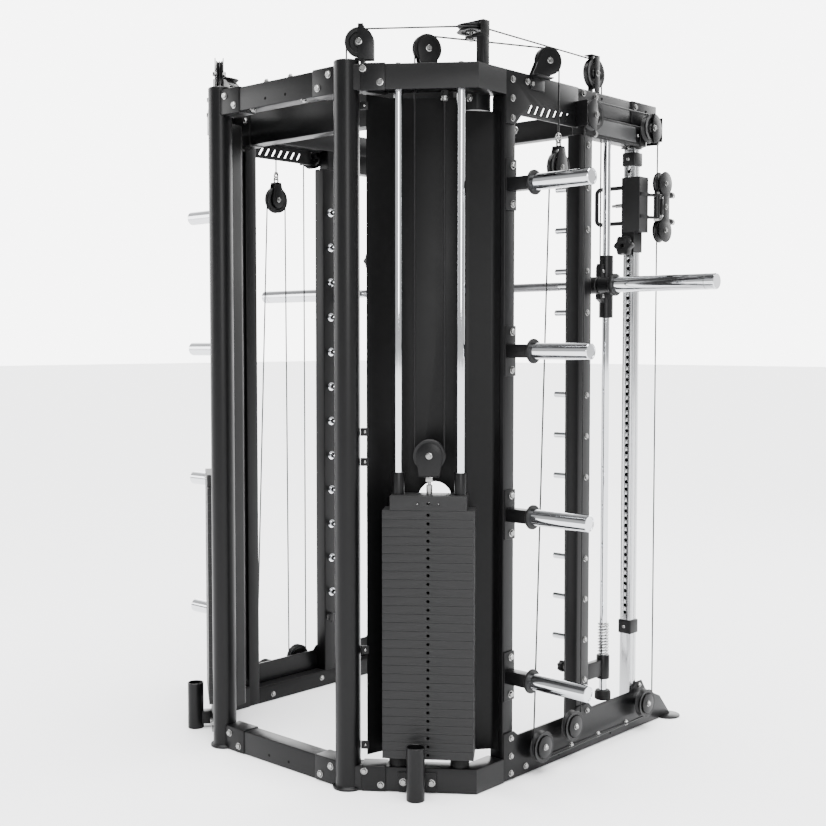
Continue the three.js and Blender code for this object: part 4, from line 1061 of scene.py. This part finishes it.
def swivel_arms():
    """The swivelling head: two waisted cheeks, two wheels, and the barrel that turns on the pin."""
    top, low = UPPER_WHEEL, LOWER_WHEEL
    centre_y, radius, middle_z = top.y, 40, (top.z + low.z) / 2
    outline = []
    for place, first, side, waist in ((top, -50, -1, 24), (low, 130, 1, 14)):
        outline += arc(centre_y, place.z, radius, first, first + 280, 28)
        outline += [(centre_y + side * waist, middle_z - side * dz) for dz in (34, -34)]
    parts = []
    for inner in (CHEEK_INNER, -CHEEK_OUTER):
        cheek = side_plate(outline, CABLE_X + inner, CABLE_X + inner + CHEEK_PLATE, edge=0.6)
        parts.append((cheek, PAINT))
    middle = Vector((CABLE_X, centre_y, middle_z))
    for place in (middle, top, low):
        parts += [bolt(place + CHEEK_OUTER * way * X, way * X, 7) for way in (1, -1)]
    for place in (top, low):
        parts.append(wheel(place, X, TROLLEY_WHEEL, bearing=False))
        parts.append((rod(place - 14 * X, place + 14 * X, 7), ZINC))
    foot, crown = LUG_HEIGHTS[1][1] + 1, LUG_HEIGHTS[0][0] - 1
    barrel = [(6.3, foot), (11.5, foot), (11.5, crown), (6.3, crown), (6.3, foot)]
    parts += [
        (turn(barrel, (CABLE_X, SWIVEL_Y, 0), Z, 32), PAINT),
        (block(CABLE_X - CHEEK_OUTER, CABLE_X + CHEEK_OUTER, -1150, SWIVEL_Y - 8, 1765, 1820, 1.5), PAINT),
        (block(CABLE_X - 11.6, CABLE_X + 11.6, -1185, -1149, 1774, 1811, 2), NYLON),
    ]
    pair("swivel_head", "{}_swivel_arm", parts, "{}_swivel_arm")


def floating_blocks():
    shape = hull(circle(0, 0, 30, 32) + [(13, 65), (-13, 65)])
    links = []
    for z, across in ((1938, Y), (1955, X)):
        middle = Vector((FLOATING.x, FLOATING.y, z))
        loop = [middle + across * 9 * u + Z * 14 * v for u, v in arc(0, 0, 1, 0, 360, 16)]
        links.append((tube(loop, 3.2, 10), ZINC))
    stud = [(0, 0), (6, 0), (6, 10), (4, 12), (0, 12)]
    parts = [
        wheel(FLOATING, X, LARGE, bearing=False),
        cheeked(FLOATING, X, 1930, shape, thickness=6),
        (turn(stud, (FLOATING.x, FLOATING.y, 1959), Z, 20), ZINC),
        links,
    ]
    pair("floating_pulley_block", "{}_floating_block", parts, "{}_floating_block")


# ---------------------------------------------------------------- guided bar


def smith_carriages():
    foot, crown = CARRIAGE
    sleeve = [(13.6, foot), (21, foot), (23, foot + 2), (23, crown - 2)]
    sleeve += [(21, crown), (13.6, crown), (13.6, foot)]
    housing = [(16.5, -19), (26, -19), (28, -17), (28, 17), (26, 19), (16.5, 19), (16.5, -19)]
    guide_side, bar_side = GUIDE_Y + 20, BAR_Y - 20
    lug = [(guide_side, BAR_Z - 58), (bar_side, BAR_Z - 44), (bar_side, BAR_Z + 58)]
    lug += [(bar_side - 6, CABLE_LUG), (guide_side + 6, CABLE_LUG), (guide_side, BAR_Z + 64)]
    parts = [
        (turn(sleeve, (GUIDE_X, GUIDE_Y, 0), Z, 48), PAINT),
        (turn(housing, (GUIDE_X, BAR_Y, BAR_Z), X, 48), PAINT),
        (side_plate(lug, GUIDE_X - 10, GUIDE_X + 10, edge=1.5), PAINT),
        [dome((GUIDE_X - 10, GUIDE_Y + 33, BAR_Z + z), -X, 6) for z in (-34, 48)],
    ]
    pair("carriage_body", "smith_carriages", parts, "{}_smith_carriage")


def hook_outline():
    """The catch beside the bar, with a round mouth that fits over a peg."""
    reach, mouth = math.hypot(PEG_Y - BAR_Y, 43), -7
    points = [(mouth - 18, 0), (mouth - 27, reach - 40), (mouth - 27, reach + 20), (mouth - 21, reach + 26)]
    points += [(mouth + 16, reach + 26), (mouth + 23, reach + 20), (mouth + 25, reach + 13)]
    points += [(mouth - 8, reach + 13), *arc(mouth, reach, 13, 120, 270, 5)]
    points += [(mouth + 22, reach - 13), (mouth + 22, reach - 34), (18, 0)]
    return [(BAR_Y + y, BAR_Z + z) for y, z in points]


def guided_bar():
    def along(x0, x1, radius, surface, edge=1.5, segments=48):
        return rod((x0, BAR_Y, BAR_Z), (x1, BAR_Y, BAR_Z), radius, edge, segments), surface

    parts = [along(-700, 700, 14, CHROME, 0.5)]
    parts += [along(x0, x1, 14.25, GRIP, 0.3) for x0, x1 in ((-455, -150), (150, 455))]
    for way in (-1, 1):
        parts += [
            along(way * 547, way * 571.5, 25, PAINT, 2),
            along(way * 613.5, way * 664, 25, PAINT, 2),
            along(way * 664, way * 677, 36, PAINT, 2.5, 56),
            along(way * 676, way * BAR_HALF, 25, CHROME, 2, 56),
            along(way * 1000, way * 1003, 25.15, ZINC, 0.3, 56),
            (side_plate(hook_outline(), way * 536, way * 544, edge=1), ZINC),
            along(way * 534.5, way * 546, 28, PAINT),
        ]
    show("guided_barbell", mesh_of("guided_barbell", parts), "smith_bar", ["smith_bar"])


# ---------------------------------------------------------------- roof and counterweights


def roof():
    low, high = upper_low, upper_high
    ends = []
    for way in (-1, 1):
        x0, x1 = way * (high.x - 1), way * (high.x - 92)
        ends.append((block(x0, x1, low.y - 2, high.y + 2.5, low.z - 2.5, high.z - 1, 2), PAINT))
        for x, z in ((28, 32), (70, 85)):
            ends.append(bolt((way * (high.x - x), high.y + 2.5, low.z + z), Y))
    caps = [dome((x, front_high.y, front_low.z + 46), Y, 14) for x in (-80, 80)]
    for name, low, high, extras in (("upper", low, high, ends), ("front", front_low, front_high, caps)):
        beam = block(low.x, high.x, low.y, high.y, low.z, high.z, 4)
        mesh = mesh_of(name + "_beam", [(beam, PAINT), extras])
        show(name + "_beam", mesh, "frame", [name + "_crossmember"])


def counterweights():
    profile = [(0, 450), (28, 450), (30, 452), (30, 846), (26, WEIGHT_TOP), (0, WEIGHT_TOP)]
    parts = [(turn(profile, (POST_X, 0, 0), Z, 40), IRON)]
    pair("counterweight_body", "{}_counterweight", parts, "{}_counterweight")


# ---------------------------------------------------------------- cables


def stack_cables():
    left_s, right_s = STACK_ALONG - STACK_WHEEL, STACK_ALONG + STACK_WHEEL
    middle, _ = PULLEYS["stack_pulley"]
    first, _ = PULLEYS["stack_top_pulley"]
    second, _ = PULLEYS["side_top_pulley"]
    line = (second - first).normalized()
    loop = bend(middle, STACK_WHEEL, ALONG, -Z, 180)
    laid("stack_cable_loop", "{}_head", loop, "{}_stack_cable")
    stretch("stack_cable_anchor_run", "{}_head", "frame", loop[0], in_bay(right_s, 0, ANCHOR_FOOT))
    stretch("stack_cable_riser", "{}_head", "frame", loop[-1], in_bay(left_s, 0, first.z))
    over = bend(first, SMALL, -line, Z, 90) + bend(second, SMALL, Z, line, 90)
    laid("stack_cable_top", "frame", over)
    stretch("stack_cable_drop", "frame", "{}_floating_block", over[-1], Vector((CABLE_X, FLOATING.y, 1970)))


def balance_cables():
    first, _ = PULLEYS["post_top_pulley"]
    corner, _ = PULLEYS["corner_pulley"]
    last, _ = PULLEYS["smith_top_pulley"]
    route = bend(first, SMALL, -ALONG, Z, 90)
    route += bend(corner, SMALL, -ACROSS, ALONG, 90 - math.degrees(BAY_ANGLE))
    route += bend(last, LARGE, Z, -Y, 90)
    laid("balance_cable_top", "frame", route, "{}_balance_cable")
    stretch("balance_cable_post_run", "{}_counterweight", "frame", Vector((POST_X, 0, WEIGHT_TOP)), route[0])
    lug = Vector((BALANCE_X, BALANCE_Y, CABLE_LUG))
    stretch("balance_cable_carriage_run", "frame", "smith_carriages", route[-1], lug)


def tangent(a, ra, b, rb):
    """Heading, in the plane of y and z, of a cable that leaves one wheel for another. Radii are signed."""
    heading = math.atan2(b.z - a.z, b.y - a.y)
    return heading - math.asin((rb - ra) / math.hypot(b.y - a.y, b.z - a.z))


def on_wheel(centre, radius, heading):
    side = heading - math.pi / 2
    return centre + radius * Vector((0, math.cos(side), math.sin(side)))


def wheel_arc(centre, radius, arrive, leave):
    """Points round a wheel between two headings. A positive radius turns left, a negative one right."""
    way = 1 if radius > 0 else -1
    swing = way * ((way * (leave - arrive)) % (2 * math.pi))
    count = max(2, round(abs(swing) / math.radians(6)))
    return [on_wheel(centre, radius, arrive + swing * k / count) for k in range(count + 1)]


def trolley_cables():
    front_top, _ = PULLEYS["rail_front_pulley"]
    rear_top, _ = PULLEYS["rail_rear_pulley"]
    base_mid, _ = PULLEYS["base_mid_pulley"]
    base_rear, _ = PULLEYS["base_rear_pulley"]
    base_front, _ = PULLEYS["base_front_pulley"]
    up, down, forward = math.pi / 2, -math.pi / 2, math.pi

    rise = tangent(base_mid, LARGE, FLOATING, -LARGE)
    fall = tangent(FLOATING, -LARGE, base_rear, -LARGE)
    level = tangent(base_rear, -LARGE, base_front, -LARGE)

    over_top = wheel_arc(front_top, -LARGE, up, 0) + wheel_arc(rear_top, -LARGE, 0, down)
    under_mid = wheel_arc(base_mid, LARGE, down, rise)
    laid("trolley_cable_top", "frame", over_top + under_mid, "{}_trolley_cable")
    over_float = wheel_arc(FLOATING, -LARGE, rise, fall)
    stretch("trolley_cable_front_run", "frame", "{}_floating_block", under_mid[-1], over_float[0])
    laid("trolley_cable_float", "{}_floating_block", over_float)
    under_base = wheel_arc(base_rear, -LARGE, fall, level) + wheel_arc(base_front, -LARGE, level, up)
    stretch("trolley_cable_rear_run", "{}_floating_block", "frame", over_float[-1], under_base[0])
    laid("trolley_cable_base", "frame", under_base)

    upper = wheel_arc(UPPER_WHEEL, TROLLEY_WHEEL, 0, up)
    lower = wheel_arc(LOWER_WHEEL, TROLLEY_WHEEL, up, forward)
    stretch("trolley_cable_upper_run", "{}_trolley", "frame", upper[-1], over_top[0])
    stretch("trolley_cable_lower_run", "frame", "{}_trolley", under_base[-1], lower[0])

    ends = []
    cone = [(0, 0), (5, 0), (6.5, 2), (11, 17), (11, 24), (9, 27), (0, 27)]
    for path in (upper[::-1], lower):
        stop = Vector((CABLE_X, -1192, path[-1].z))
        neck = stop - 24 * Y
        loop = [stop + Vector((0, -38 - 9 * u, 8 * v)) for u, v in arc(0, 0, 1, -154.8, 154.8, 16)]
        ends.append((tube(path + [stop], CABLE_RADIUS), CABLE))
        ends.append((turn(cone, stop, -Y, 36), NYLON))
        ends.append((tube([neck, *loop, neck], 2.2, 10), ZINC))
    pair("trolley_cable_ends", "{}_swivel_arm", ends)


# ---------------------------------------------------------------- studio


def add_object(name, data):
    added = bpy.data.objects.new(name, data)
    bpy.context.scene.collection.objects.link(added)
    return added


def studio():
    """A white floor, a sky that is bright ahead of the camera and darker behind and above, and lamps."""
    floor = bmesh.new()
    bmesh.ops.create_grid(floor, x_segments=1, y_segments=1, size=60)
    mesh = bpy.data.meshes.new("floor")
    floor.to_mesh(mesh)
    floor.free()
    mesh.materials.append(FLOOR)
    plane = add_object("floor", mesh)
    plane.location.z = -0.0005

    world = bpy.data.worlds.new("studio")
    bpy.context.scene.world = world
    world.use_nodes = True
    tree = world.node_tree
    link = tree.links.new
    backdrop = tree.nodes["Background"]
    backdrop.inputs["Color"].default_value = (1, 1, 1, 1)
    place = add_node(tree, "TexCoord").outputs["Generated"]
    height = add_node(tree, "SeparateXYZ")
    link(place, height.inputs["Vector"])
    ahead = add_node(tree, "VectorMath", {1: (0.675, -0.736, 0)}, operation="DOT_PRODUCT")
    link(place, ahead.inputs[0])

    def ramp(source, *limits):
        values = dict(zip(("From Min", "From Max", "To Min", "To Max"), limits))
        step = add_node(tree, "MapRange", values, interpolation_type="SMOOTHSTEP")
        link(source, step.inputs["Value"])
        return step.outputs["Result"]

    strength = add_node(tree, "Math", operation="MULTIPLY")
    link(ramp(ahead.outputs["Value"], 0.1, 0.75, 0.8, 7.0), strength.inputs[0])
    link(ramp(height.outputs["Z"], 0.35, 0.7, 1.0, 0.12), strength.inputs[1])
    link(strength.outputs["Value"], backdrop.inputs["Strength"])

    sun = bpy.data.lights.new("ceiling", "SUN")
    sun.energy = 11.5
    sun.angle = math.radians(60)
    add_object("ceiling", sun).rotation_euler = (math.radians(-8), math.radians(-10), 0)

    for name, place, width, power in LAMPS:
        light = bpy.data.lights.new(name, "AREA")
        light.size = width
        light.energy = power
        lamp = add_object(name, light)
        lamp.location = place
        lamp.rotation_euler = (Vector((0, 0, 1.0)) - Vector(place)).to_track_quat("-Z", "Y").to_euler()


def camera():
    heading, pitch = math.radians(42.5), math.radians(3.12)
    level = math.cos(pitch)
    forward = Vector((math.sin(heading) * level, -math.cos(heading) * level, -math.sin(pitch)))
    lens = bpy.data.cameras.new("camera")
    lens.sensor_width = 36
    lens.lens = 54.5
    lens.shift_x = 0.0048
    lens.shift_y = -0.0040
    lens.clip_end = 100
    eye = add_object("camera", lens)
    eye.location = TO_METRES @ EYE
    eye.rotation_euler = forward.to_track_quat("-Z", "Y").to_euler()
    bpy.context.scene.camera = eye


camera()
studio()
rear_posts()
rear_crossmembers()
stack_bays()
barbell_holder()
pulleys()
top_brackets()
side_axles()
weight_stacks()
shrouds()
side_tubes()
side_bolts()
gussets()
base_webs()
pulley_channels()
storage_horns()
bar_pegs()
guide_rods_of_bar()
cable_columns()
trolleys()
pop_pins()
swivel_arms()
floating_blocks()
smith_carriages()
guided_bar()
roof()
counterweights()
stack_cables()
balance_cables()
trolley_cables()
